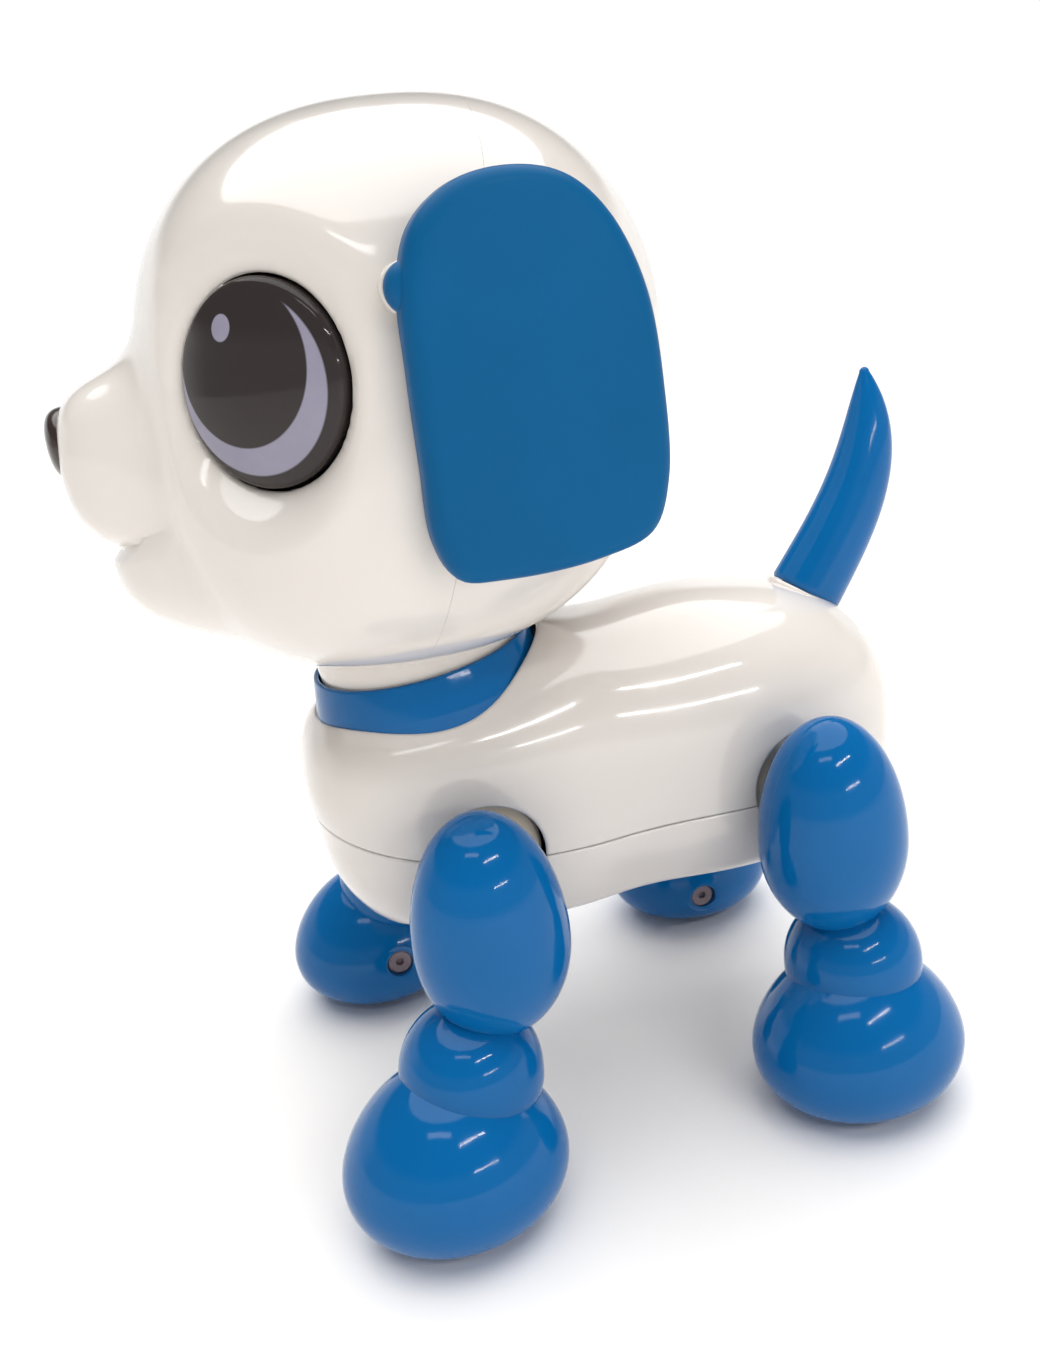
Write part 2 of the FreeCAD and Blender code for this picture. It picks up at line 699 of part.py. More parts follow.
def make_nose_solid(name, grow):
    centre = (0, size("nose_y"), size("nose_z"))
    radii = (size("nose_width") + grow, size("nose_length") + grow, size("nose_height") + grow)
    return ellipsoid(name, centre, radii)


def make_head():
    centre = (0, -20.5, 130)
    outer = moulded_solid("head_outer", head_shape, centre, 0, 30, 32)
    cavity = moulded_solid("head_cavity", head_shape, centre, float(size("wall")), 30, 32)
    skin = cut("head_skin", outer, [cavity])
    posts = [cylinder("head_post_%d" % number, size("post_radius"), FAR / 2, (across, -60, up), ALONG_Y)
             for number, (across, up, _) in enumerate(HEAD_SCREWS)]
    ribs = common("head_ribs", group("head_posts", posts), outer)
    boss = ear_boss()
    whole = fuse("head_whole", [skin, ribs, boss, mirrored("ear_boss_right", boss)])
    pin_hole = ear_pin_hole()
    eye_hole = eye_prism("eye_hole", 0)
    eye_front = ellipsoid("eye_front_room", EYE, (size("eye_half_width"), size("eye_half_height"), 6),
                          eye_turn(), low_angle=0)
    holes = [pin_hole, mirrored("ear_pin_hole_right", pin_hole)]
    holes += [eye_hole, mirrored("eye_hole_right", eye_hole)]
    holes += [eye_front, mirrored("eye_front_room_right", eye_front), make_nose_solid("nose_room", 0)]
    socket_depth = 40
    socket_start = neck_point(size("neck_rise") - socket_depth)
    holes.append(cylinder("neck_socket", size("neck_radius"), socket_depth, socket_start, NECK_TURN))
    holes += [screw_hole("head_screw_hole_%d" % number, head_screw_seat(spot), BACKWARDS, 60)
              for number, spot in enumerate(HEAD_SCREWS)]
    shell = cut("head_shell", whole, holes)
    tilt = Rotation(Vector(1, 0, 0), -float(size("head_split_tilt")))
    split = (-FAR / 2, size("head_split_y"), size("head_split_z"))
    turned_front = doc.addObject("Part::Box", "front_half_space")
    turned_front.Length = turned_front.Width = turned_front.Height = FAR
    turned_front.Placement = Placement(Vector(*map(float, split)), tilt)
    turned_front.Placement.move(tilt.multVec(Vector(0, -FAR, -FAR / 2)))
    piece(common("head_front_shell", shell, turned_front), "head_front_shell")
    piece(cut("head_rear_shell", shell, [turned_front]), "head_rear_shell")
    screws = [screw("head_screw_%d" % number, head_screw_seat(spot), BACKWARDS)
              for number, spot in enumerate(HEAD_SCREWS)]
    piece(group("head_screws", screws), "head_screws")
    nose_back = box("nose_back", (-20, -68.5, 100), (20, 0, 160))
    piece(cut("nose", make_nose_solid("nose_blank", 0), [nose_back]), "nose")


# ---------------------------------------------------------------- ears and tail

# The ear's outline around its middle: straight in front, square below, drawn in behind the top.
EAR_OUTLINE = ((0.2, 26.5), (-8.3, 25.5), (-14.4, 21), (-17, 14), (-17.5, 3), (-17.6, -9), (-17.4, -20),
               (-14.9, -25.2), (-8.4, -26.4), (5.5, -26), (14, -23.4), (17, -16.5), (17.5, -3),
               (16.1, 10), (12, 19.5), (6.8, 24.6))


def make_ears():
    """A soft-edged flap with a round lobe and a peg that snaps into the head."""
    body = new_body("ear_flap", (size("ear_x"), size("ear_y"), size("ear_z")))
    sketch = new_sketch(body, "YZ_Plane", "ear_outline")
    curve = Part.BSplineCurve()
    curve.interpolate(Points=[Vector(along, up, 0) for along, up in EAR_OUTLINE], PeriodicFlag=True)
    sketch.addGeometry(curve)
    flap = pad(body, sketch, size("ear_thick"))
    doc.recompute()
    thick = float(size("ear_thick"))
    rims = ["Edge%d" % (number + 1) for number, edge in enumerate(flap.Shape.Edges)
            if all(abs(vertex.Point.x - thick) < 0.01 for vertex in edge.Vertexes)]
    rounding = body.newObject("PartDesign::Fillet", "ear_rounding")
    rounding.Base = (flap, rims)
    bind(rounding, "Radius", size("ear_rounding"))
    pin_at = (size("ear_x"), size("ear_pin_y"), size("ear_pin_z"))
    lobe_solid = cylinder("ear_lobe", size("ear_lobe_radius"), size("ear_thick") * 0.7, pin_at, ALONG_X)
    pin_start = (37.2, size("ear_pin_y"), size("ear_pin_z"))
    peg = cylinder("ear_peg", size("ear_pin_radius"), size("ear_x") - 37.2 + 1, pin_start, ALONG_X)
    ear = fuse("ear_left", [body, lobe_solid, peg])
    piece(ear, "ear_left")
    piece(mirrored("ear_right", ear), "ear_right")
    clip_start = (37.3, size("ear_pin_y"), size("ear_pin_z"))
    hole_start = (36, size("ear_pin_y"), size("ear_pin_z"))
    clip = cut("ear_left_clip", cylinder("ear_clip_disc", 4, 0.8, clip_start, ALONG_X),
               [cylinder("ear_clip_hole", size("ear_pin_radius"), 2, hole_start, ALONG_X)])
    piece(clip, "ear_left_clip")
    piece(mirrored("ear_right_clip", clip), "ear_right_clip")


TAIL_CURVE = ((0, 0), (6, 8.4), (11, 16.9), (14, 24.9), (15, 32.9), (14.7, 40.3))
TAIL_RADII = (7.4, 7.0, 6.5, 5.6, 3.8, 0.9)


def make_tail():
    """A curved taper with a flat base, and a peg held by a spring clip inside the body."""
    base = Vector(*[float(value) for value in TAIL])
    centres = [base + Vector(0, along, up) for along, up in TAIL_CURVE]
    path = Part.BSplineCurve()
    path.interpolate(centres, InitialTangent=TAIL_TURN.multVec(Vector(0, 0, 10)),
                     FinalTangent=Vector(0, -0.5, 10))
    wires = []
    for centre, radius in zip(centres, TAIL_RADII):
        tangent = path.tangent(path.parameter(centre))[0]
        sideways = radius * float(size("tail_flatness"))
        ellipse = Part.Ellipse(Vector(0, 0, 0), radius, sideways)
        wire = Part.Wire([ellipse.toShape()])
        lean = math.degrees(math.atan2(tangent.y, tangent.z))
        turn = Rotation(Vector(1, 0, 0), -lean).multiply(Rotation(Vector(0, 0, 1), 90))
        wire.Placement = Placement(centre, turn)
        wires.append(wire)
    horn = doc.addObject("Part::Feature", "tail_horn")
    horn.Shape = Part.makeLoft(wires, True, False)
    peg_length = float(size("tail_peg_length"))
    peg = cylinder("tail_peg", size("tail_peg_radius"), peg_length + 2, tail_point(-peg_length), TAIL_TURN)
    piece(fuse("tail", [horn, peg]), "tail")
    clip = cut("tail_clip", cylinder("tail_clip_disc", 5, 1, tail_point(-7.9), TAIL_TURN),
               [cylinder("tail_clip_hole", size("tail_peg_radius"), 4, tail_point(-9.5), TAIL_TURN)])
    piece(clip, "tail_clip")


# ---------------------------------------------------------------- legs

LEG_SCREW_SPOTS = {"front": ((-33.3, 13.4, 27), (-22.7, 42.5, 28.5)),
                   "rear": ((38.2, 10, 27), (39.7, 43, 28.5))}


def blob(name, centre, width, length, above, below):
    """A round volume that is taller above its middle than below it, or the other way round."""
    upper = ellipsoid(name + "_top", centre, (width, length, above), low_angle=0)
    lower = ellipsoid(name + "_base", centre, (width, length, below), high_angle=0)
    return [upper, lower]


def leg_volume(name, end, depth):
    """Thigh, ankle and foot as one volume, the given depth under the skin."""
    blobs = []
    for part in ("thigh", "ankle", "foot"):
        along = size(end + "_" + part + "_y")
        up = size(end + "_thigh_z") if part == "thigh" else size(part + "_z")
        radii = [size(part + "_" + side) - depth for side in ("width", "length", "above", "below")]
        blobs += blob(name + "_" + part, (size(part + "_x"), along, up), *radii)
    blank = fuse(name + "_blank", blobs)
    under = box(name + "_under", (0, -FAR / 2, -30), (FAR / 2, FAR / 2, size("sole_z") + depth))
    inside = box(name + "_inside", (0, -FAR / 2, 33), (size("leg_inner_x") + depth, FAR / 2, FAR / 2))
    return cut(name, blank, [under, inside])


def make_leg(end):
    """The left leg at one end: two moulded halves, its lever, sole pad and screws."""
    label = "leg_" + end + "_left"
    hip = (size("hub_inner_x"), HIPS[end], size("hip_z"))
    outer = leg_volume(label + "_outer_volume", end, 0)
    cavity = leg_volume(label + "_cavity", end, size("leg_wall"))
    skin = cut(label + "_skin", outer, [cavity])
    spots = LEG_SCREW_SPOTS[end]
    posts = group(label + "_posts", [cylinder(label + "_post_%d" % number, size("post_radius"), 60,
                                              (0, along, up), ALONG_X)
                                     for number, (along, up, _) in enumerate(spots)])
    ribs = common(label + "_ribs", posts, outer)
    hub_end_x = 30
    hub = cylinder(label + "_hub", size("hub_radius"), hub_end_x - size("hub_inner_x"), hip, ALONG_X)
    spigot_start = (size("spigot_end_x"), HIPS[end], size("hip_z"))
    spigot_length = hub_end_x - size("spigot_end_x")
    spigot = cylinder(label + "_spigot", size("spigot_radius"), spigot_length, spigot_start, ALONG_X)
    whole = fuse(label + "_whole", [skin, ribs, hub, spigot])
    holes = [screw_hole(label + "_screw_hole_%d" % number, (seat, along, up), ALONG_X, 20)
             for number, (along, up, seat) in enumerate(spots)]
    pad_at = (size("foot_x"), size(end + "_foot_y"), 0)
    holes.append(cylinder(label + "_pad_room", size("pad_radius") + 0.05, size("pad_thick"), pad_at))
    shell = cut(label + "_shell", whole, holes)
    outside = box(label + "_outside", (size("leg_split_x"), -FAR / 2, -10), (FAR / 2, FAR / 2, FAR / 2))
    pads = cylinder(label + "_pad", size("pad_radius"), size("pad_thick"), pad_at)
    screws = group(label + "_screws", [screw(label + "_screw_%d" % number, (seat, along, up), ALONG_X)
                                       for number, (along, up, seat) in enumerate(spots)])
    parts = {"outer_shell": common(label + "_outer_shell", shell, outside),
             "inner_shell": cut(label + "_inner_shell", shell, [outside]),
             "lever": make_lever(label, end), "pad": pads, "screws": screws}
    for part_name, feature in parts.items():
        piece(feature, label + "_" + part_name)
        other = "leg_" + end + "_right_" + part_name
        piece(mirrored(other, feature), other)


def make_lever(label, end):
    """The crank arm inside the body, pressed onto the leg's spigot."""
    inner = size("spigot_end_x")
    along = HIPS[end]
    hip_z = size("hip_z")
    thick = size("lever_thick")
    top = hip_z + size("lever_radius")
    hub = cylinder(label + "_lever_hub", size("lever_hub"), thick, (inner, along, hip_z), ALONG_X)
    arm = box(label + "_lever_arm", (inner, along - 3, hip_z), (inner + thick, along + 3, top))
    tip = cylinder(label + "_lever_tip", 3, thick, (inner, along, top), ALONG_X)
    pin_start = (size("lever_pin_end_x"), along, top)
    pin_length = inner - size("lever_pin_end_x") + 1
    pin = cylinder(label + "_lever_pin", size("lever_pin"), pin_length, pin_start, ALONG_X)
    bore = cylinder(label + "_lever_bore", size("spigot_radius"), 8, (inner - 2, along, hip_z), ALONG_X)
    return cut(label + "_lever_solid", fuse(label + "_lever_blank", [hub, arm, tip, pin]), [bore])


# ---------------------------------------------------------------- links and gears

def make_links():
    """A sliding bar on each side: a slot for each lever pin and a yoke at the crank."""
    centre = size("crank_z")
    half = size("link_height") * 0.5
    body = new_body("link_bar", (size("link_inner_x"), 0, 0))
    bar = new_sketch(body, "YZ_Plane", "link_outline")
    yoke_front = size("crank_y") - 5
    yoke_rear = size("crank_y") + 5
    yoke_half = half + 2.4
    draw_polygon(bar, [(size("link_front_y"), centre - half), (yoke_front, centre - half),
                       (yoke_front, centre - yoke_half), (yoke_rear, centre - yoke_half),
                       (yoke_rear, centre - half), (size("link_rear_y"), centre - half),
                       (size("link_rear_y"), centre + half), (yoke_rear, centre + half),
                       (yoke_rear, centre + yoke_half), (yoke_front, centre + yoke_half),
                       (yoke_front, centre + half), (size("link_front_y"), centre + half)])
    bar_pad = pad(body, bar, size("link_thick"))
    slot = size("lever_pin") + size("link_slot_gap")
    cuts = new_sketch(body, "YZ_Plane", "link_slots")
    for along in HIPS.values():
        draw_rectangle(cuts, (along - slot, centre - slot - 0.6), (along + slot, centre + slot))
    yoke = size("crank_pin") + size("link_slot_gap")
    reach_ = size("crank_throw") + yoke
    draw_rectangle(cuts, (size("crank_y") - yoke, centre - reach_),
                   (size("crank_y") + yoke, centre + reach_))
    pocket = body.newObject("PartDesign::Pocket", "link_slot_pocket")
    pocket.Profile = cuts
    bind(pocket, "Length", size("link_thick") + 1)
    pocket.Reversed = True
    doc.recompute()
    if pocket.Shape.Volume > bar_pad.Shape.Volume - 1:
        raise RuntimeError("the link's slots were not cut")
    piece(body, "link_left")
    piece(mirrored("link_right", body), "link_right")


def gear_outline(name, teeth, tooth_at, start_x, centre):
    """A flat gear outline whose first tooth points along the given angle, from +Y towards +Z."""
    step = float(size("gear_step"))
    pitch_radius = teeth * step / 2
    levels = ((pitch_radius - 1.1 * step, 0.92 * step), (pitch_radius, 0.62 * step),
              (pitch_radius + 0.8 * step, 0.3 * step))
    points = []
    for tooth in range(teeth):
        middle = math.radians(tooth_at) + 2 * math.pi * tooth / teeth
        flank = [(radius, -half / radius) for radius, half in levels]
        flank += [(radius, -turn) for radius, turn in reversed(flank)]
        for radius, turn in flank:
            angle = middle + turn
            points.append(Vector(0, radius * math.cos(angle), radius * math.sin(angle)))
    feature = doc.addObject("Part::Feature", name)
    feature.Shape = Part.Face(Part.makePolygon(points + points[:1]))
    place(feature, (start_x, centre[0], centre[1]))
    return feature


def gear_wheel(name, teeth, tooth_at, start_x, width, centre):
    return prism(name, gear_outline(name + "_outline", teeth, tooth_at, start_x, centre), width, ALONG_X)


WHEEL = 30
PINION = 10


def gear_centres():
    """Crank, second, first and motor axes, each a centre distance from the one before."""
    distance = (WHEEL + PINION) * float(size("gear_step")) / 2
    crank = (size("crank_y"), size("crank_z"))
    second = (crank[0] + distance, crank[1])
    first = (second[0] + distance * math.cos(math.radians(30)), second[1] - distance * 0.5)
    motor = (first[0] + distance, first[1])
    return crank, second, first, motor


def make_gears():
    crank, second, first, motor = gear_centres()
    half_wheel_tooth = 180 / WHEEL
    bore = size("axle_radius") + size("running_gap")
    wheel = gear_wheel("crank_gear_blank", WHEEL, half_wheel_tooth, 2, 2, crank)
    crank_bore = cylinder("crank_gear_bore", size("shaft_radius"), 8, (0,) + crank, ALONG_X)
    piece(cut("crank_gear", wheel, [crank_bore]), "crank_gear")
    compounds = (("gear_second", second, 1.8, 180, 4.4, -30), ("gear_first", first, 4.4, 150, 7, 0))
    for name, centre, small_x, small_tooth, big_x, big_gap in compounds:
        small = gear_wheel(name + "_small", PINION, small_tooth, small_x, big_x - small_x, centre)
        big = gear_wheel(name + "_big", WHEEL, big_gap + half_wheel_tooth, big_x, 2, centre)
        bore_solid = cylinder(name + "_bore", bore, 20, (-5,) + centre, ALONG_X)
        piece(cut(name, fuse(name + "_blank", [small, big]), [bore_solid]), name)
    pinion = gear_wheel("pinion_wheel", PINION, 180, 7, 2, motor)
    shaft = cylinder("pinion_shaft", 0.75, 8, (1.2,) + motor, ALONG_X)
    piece(fuse("motor_pinion", [pinion, shaft]), "motor_pinion")
    half = size("case_half_width")
    axles = [cylinder("axle_second", size("axle_radius"), half * 2, (-half,) + second, ALONG_X),
             cylinder("axle_first", size("axle_radius"), half * 2, (-half,) + first, ALONG_X)]
    piece(group("gear_axles", axles), "gear_axles")


def make_crank():
    """The output shaft, with a disc and an offset pin at each end, half a turn apart."""
    centre = (size("crank_y"), size("crank_z"))
    end_x = size("case_half_width") + 1.9
    shaft = cylinder("crank_shaft", size("shaft_radius"), end_x * 2, (-end_x,) + centre, ALONG_X)
    piece(shaft, "crank_shaft")
    discs = []
    for side, sign in SIDES:
        low_x = size("case_half_width") + 0.3 if sign > 0 else -end_x
        disc = cylinder("crank_disc_" + side, size("crank_disc"), 1.6, (low_x,) + centre, ALONG_X)
        pin_x = end_x if sign > 0 else -(end_x + 0.8)
        pin_at = (pin_x, centre[0], centre[1] + size("crank_throw") * sign)
        pin = cylinder("crank_pin_" + side, size("crank_pin"), 0.8, pin_at, ALONG_X)
        bore = cylinder("crank_disc_bore_" + side, size("shaft_radius"), end_x * 2, (-end_x,) + centre,
                        ALONG_X)
        discs.append(cut("crank_disc_solid_" + side, fuse("crank_disc_blank_" + side, [disc, pin]), [bore]))
    piece(group("crank_discs", discs), "crank_discs")


CASE_SCREWS = ((5.7, 57.5), (43.8, 74.7), (33, 74.7))


def make_gear_case():
    """Two case halves with the bearings, the link guides and the posts of the circuit board."""
    crank, second, first, motor = gear_centres()
    half = size("case_half_width")
    wall = size("case_wall")
    front = size("case_front_y")
    rear = size("case_rear_y")
    low = size("case_low_z")
    top = size("case_top_z")
    blank = [box("case_block", (-half, front, low), (half, rear, top))]
    bar_low = size("crank_z") - size("link_height") * 0.5 - 0.15
    bar_top = size("crank_z") + size("link_height") * 0.5 + 0.15
    for side, sign in SIDES:
        start = half if sign > 0 else -(half + 5.2)
        end = half + 5.2 if sign > 0 else -half
        blank.append(box("guide_top_" + side, (start, 24, bar_top), (end, 34, bar_top + 1.5)))
        blank.append(box("guide_low_" + side, (start, 24, bar_low - 1.5), (end, 34, bar_low)))
        for spot in (6, 43):
            blank.append(cylinder("board_post_%s_%d" % (side, spot), 1.6, 2.4, (sign * 9, spot, top)))
    room = box("gear_room", (-(half - wall), front + wall, low + wall), (half - wall, 35.2, top - wall))
    pinion_room = box("pinion_room", (6, 34, low + wall), (half - wall, 45, 72))
    bosses = [cylinder("case_boss_%d" % number, 2.6, half * 2, (-half, along, up), ALONG_X)
              for number, (along, up) in enumerate(CASE_SCREWS)]
    rooms = cut("case_rooms", fuse("case_room_sum", [room, pinion_room]), bosses)
    holes = [rooms, motor_solid("motor_room", motor)]
    shaft_bore = size("shaft_radius") + size("running_gap")
    holes.append(cylinder("shaft_bore", shaft_bore, 30, (-15,) + crank, ALONG_X))
    holes += [cylinder("axle_bore_%d" % number, size("axle_radius"), 30, (-15,) + centre, ALONG_X)
              for number, centre in enumerate((second, first))]
    holes.append(cylinder("pinion_shaft_room", 1.2, 4, (4,) + motor, ALONG_X))
    holes += [screw_hole("case_screw_hole_%d" % number, (half, along, up), FACING_IN, 4, 16, 0.9)
              for number, (along, up) in enumerate(CASE_SCREWS)]
    case = cut("gear_case", fuse("case_blank", blank), holes)
    left_space = box("left_space", (0, -FAR / 2, 0), (FAR / 2, FAR / 2, FAR / 2))
    piece(common("gear_case_left", case, left_space), "gear_case_left")
    piece(cut("gear_case_right", case, [left_space]), "gear_case_right")
    screws = [screw("case_screw_%d" % number, (half, along, up), FACING_IN, 16, 0.9)
              for number, (along, up) in enumerate(CASE_SCREWS)]
    piece(group("gear_case_screws", screws), "gear_case_screws")


FACING_IN = Rotation(Vector(0, 1, 0), -90)


def motor_solid(name, centre):
    """A flat-sided can: a round body cut by two flats."""
    length = size("motor_length")
    start_x = size("motor_front_x") - length
    half_width = size("motor_width") * 0.5
    round_can = cylinder(name + "_can", size("motor_height") * 0.5, length, (start_x,) + centre, ALONG_X)
    flats = box(name + "_flats", (start_x, centre[0] - half_width, centre[1] - 10),
                (size("motor_front_x"), centre[0] + half_width, centre[1] + 10))
    return common(name, round_can, flats)


def make_motor():
    motor = gear_centres()[3]
    bore = cylinder("motor_bore", 0.8, 6, (1,) + motor, ALONG_X)
    piece(cut("motor", motor_solid("motor_blank", motor), [bore]), "motor")


# ---------------------------------------------------------------- power and electronics

def make_cells():
    """Three cells side by side, the middle one the other way round, and their contacts."""
    front = size("bay_front_y") + 0.1
    plate = 0.4
    spring = 1.35
    cells = []
    contacts = []
    for number, across in enumerate((-1, 0, 1)):
        middle = size("cell_pitch") * across
        flipped = across == 0
        low = front + plate + (1.0 if flipped else spring)
        cell = cylinder("cell_can_%d" % number, size("cell_radius"), size("cell_length"),
                        (middle, low, size("cell_z")), ALONG_Y)
        nub_y = low - 1.0 if flipped else low + size("cell_length")
        nub = cylinder("cell_nub_%d" % number, 1.9, 1.0, (middle, nub_y, size("cell_z")), ALONG_Y)
        cells.append(fuse("cell_%d" % number, [cell, nub]))
        far_y = low + size("cell_length") + (spring if flipped else 1.0)
        for place_, along in (("front", front), ("rear", far_y)):
            low_corner = (middle - 4.2, along, size("cell_z") - 4.2)
            high_corner = (middle + 4.2, along + plate, size("cell_z") + 4.2)
            contacts.append(box("plate_%s_%d" % (place_, number), low_corner, high_corner))
        coil_y = low + size("cell_length") if flipped else front + plate
        coil = cylinder("spring_%d" % number, 2.6, spring, (middle, coil_y, size("cell_z")), ALONG_Y)
        contacts.append(coil)
    piece(group("batteries", cells), "batteries")
    piece(group("battery_contacts", contacts), "battery_contacts")


def make_cover(skin):
    """The battery cover, cut from the same belly as the shell, with its captive screw."""
    panel = common("cover_panel", skin, cover_region("cover_region", 0))
    seat = (0, size("cover_rear_y") - 3.4, size("belly_z") + 1.0)
    hole = screw_hole("cover_screw_hole", seat, UPRIGHT, 4, 8, 1.3)
    piece(cut("battery_cover", panel, [hole]), "battery_cover")
    piece(screw("battery_cover_screw", seat, UPRIGHT, 8, 1.3), "battery_cover_screw")


def make_switch():
    """A slide switch in the belly: the housing inside and the knob in its slot."""
    along = size("switch_y")
    base = size("belly_z") + 3.6
    block = box("switch_block", (-10, along - 3, base), (10, along + 3, base + 4.6))
    slot = box("switch_stem_room", (-4, along - 1.2, base - 1), (4, along + 1.2, base + 2.6))
    piece(cut("switch_housing", block, [slot]), "switch_housing")
    rest = -size("switch_travel") * 0.5
    knob = box("knob_block", (rest - 2.5, along - 2, size("belly_z") - 0.6),
               (rest + 2.5, along + 2, base - 0.4))
    stem = box("knob_stem", (rest - 1, along - 1, base - 1), (rest + 1, along + 1, base + 2))
    piece(fuse("power_switch_knob", [knob, stem]), "power_switch_knob")


def make_speaker():
    cone = cylinder("speaker_cone", SPEAKER_RADIUS, 3, (0, SPEAKER_Y, SPEAKER_Z))
    magnet = cylinder("speaker_magnet", SPEAKER_RADIUS * 0.55, 2.6, (0, SPEAKER_Y, SPEAKER_Z + 3))
    piece(fuse("speaker", [cone, magnet]), "speaker")


def make_circuit_board():
    """A flat board on the case's posts, with its chips and connector."""
    low = float(size("case_top_z")) + 2.4
    body = new_body("board_plate", (0, 0, low))
    sketch = new_sketch(body, "XY_Plane", "board_outline")
    draw_rectangle(sketch, (-13, 3.5), (13, 45.5))
    pad(body, sketch, 1.6)
    chips = [box("chip_main", (-5, 18, low + 1.6), (5, 28, low + 2.8)),
             box("chip_driver", (-9, 34, low + 1.6), (-3, 39, low + 3)),
             box("connector", (3, 33, low + 1.6), (11, 37.5, low + 5)),
             cylinder("capacitor", 2.5, 4, (7.5, 12, low + 1.6))]
    piece(fuse("circuit_board", [body] + chips), "circuit_board")


# ---------------------------------------------------------------- build, test and write

def check_everything():
    """Stops on any failed feature or any shape that is empty or not valid."""
    for item in doc.Objects:
        if {"Invalid", "Error"} & set(item.State):
            raise RuntimeError("failed feature: " + item.Name)
    labels = [item.Label for item in pieces]
    if len(labels) != len(set(labels)):
        raise RuntimeError("two pieces share a name")
    for item in pieces:
        if item.Shape.isNull() or not item.Shape.isValid() or item.Shape.Volume <= 0:
            raise RuntimeError("bad shape: " + item.Label)


def main():
    skin = make_body_shell()
    make_hip_bushes()
    make_body_screws()
    make_collar()
    make_neck()
    make_eyes()
    make_head()
    make_ears()
    make_tail()
    for end in HIPS:
        make_leg(end)
    make_links()
    make_gears()
    make_crank()
    make_gear_case()
    make_motor()
    make_cells()
    make_cover(skin)
    make_switch()
    make_speaker()
    make_circuit_board()
    doc.recompute()
    check_everything()
    os.makedirs("parts", exist_ok=True)
    for item in pieces:
        item.Shape.exportStep("parts/" + item.Label + ".step")
        print("%-28s %2d solids %9.1f mm3" % (item.Label, len(item.Shape.Solids), item.Shape.Volume))
    print(len(pieces), "pieces")


main()
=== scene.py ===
"""The looks of a walking robot dog toy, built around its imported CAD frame."""

import math

import bmesh
import bpy
import numpy as np
from mathutils import Matrix, Vector


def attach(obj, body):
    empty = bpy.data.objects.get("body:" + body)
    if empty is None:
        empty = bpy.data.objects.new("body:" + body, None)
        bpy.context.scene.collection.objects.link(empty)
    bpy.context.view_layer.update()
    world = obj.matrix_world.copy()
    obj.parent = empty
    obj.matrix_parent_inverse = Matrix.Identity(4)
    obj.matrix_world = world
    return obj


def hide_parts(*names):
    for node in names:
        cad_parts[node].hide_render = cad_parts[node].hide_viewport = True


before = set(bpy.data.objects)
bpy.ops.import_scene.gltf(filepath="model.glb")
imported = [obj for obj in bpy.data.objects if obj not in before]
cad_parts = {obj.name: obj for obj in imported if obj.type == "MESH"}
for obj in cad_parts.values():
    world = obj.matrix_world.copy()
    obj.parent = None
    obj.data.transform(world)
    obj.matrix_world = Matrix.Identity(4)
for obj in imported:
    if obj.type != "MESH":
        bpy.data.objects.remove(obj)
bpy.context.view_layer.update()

# Shapes are worked out in the CAD's millimetres and become metres in new_mesh().
# The nose points to -Y, the dog's left side is +X and the floor is z = 0.
MM = 0.001
LIP_WIDTH = 0.4
LIP_DEPTH = 0.28
PARTING_GAP = 0.06
FINE_GAP = 0.02
WALL = 1.8
LEG_WALL = 1.3
SIDES = (("left", 1), ("right", -1))
OUTWARDS = (1, 0, 0)


# ---------------------------------------------------------------- camera, lights and floor

CAMERA_PLACE = (205.7, -53.4, 152.2)
CAMERA_AZIMUTH = 76.4656
CAMERA_ELEVATION = 19.0970
CAMERA_ROLL = -7.6679
CAMERA_LENS = 31.41
LIGHTS_AIM = (0, 0, 90)
FLOOR_HALF = 6


def make_camera():
    back = direction(CAMERA_AZIMUTH, CAMERA_ELEVATION)
    level = (-back).cross(Vector((0, 0, 1))).normalized()
    upright = level.cross(-back)
    roll = math.radians(CAMERA_ROLL)
    right = level * math.cos(roll) + upright * math.sin(roll)
    up = upright * math.cos(roll) - level * math.sin(roll)
    data = bpy.data.cameras.new("camera")
    data.lens = CAMERA_LENS
    data.sensor_width = 36
    data.clip_start = 0.01
    camera = bpy.data.objects.new("camera", data)
    bpy.context.scene.collection.objects.link(camera)
    turn = Matrix((right, up, back)).transposed().to_4x4()
    camera.matrix_world = Matrix.Translation(Vector(CAMERA_PLACE) * MM) @ turn
    bpy.context.scene.camera = camera


def direction(azimuth, elevation):
    """From the toy towards a point seen at this azimuth and elevation."""
    turn = math.radians(azimuth)
    rise = math.radians(elevation)
    return Vector((math.sin(turn) * math.cos(rise), -math.cos(turn) * math.cos(rise), math.sin(rise)))


def soft_box(name, azimuth, elevation, distance, width, height, power):
    """A rectangular lamp aimed at the toy; its distance and sides are in metres."""
    data = bpy.data.lights.new(name, "AREA")
    data.shape = "RECTANGLE"
    data.size = width
    data.size_y = height
    data.energy = power
    lamp = bpy.data.objects.new(name, data)
    bpy.context.scene.collection.objects.link(lamp)
    away = direction(azimuth, elevation)
    lamp.location = Vector(LIGHTS_AIM) * MM + away * distance
    lamp.rotation_mode = "QUATERNION"
    lamp.rotation_quaternion = away.to_track_quat("Z", "Y")


def make_sun(azimuth, elevation, strength, spread):
    """A broad, even light from above, so that the floor is as bright far off as under the toy."""
    data = bpy.data.lights.new("sun", "SUN")
    data.energy = strength
    data.angle = math.radians(spread)
    lamp = bpy.data.objects.new("sun", data)
    bpy.context.scene.collection.objects.link(lamp)
    lamp.rotation_mode = "QUATERNION"
    lamp.rotation_quaternion = direction(azimuth, elevation).to_track_quat("Z", "Y")


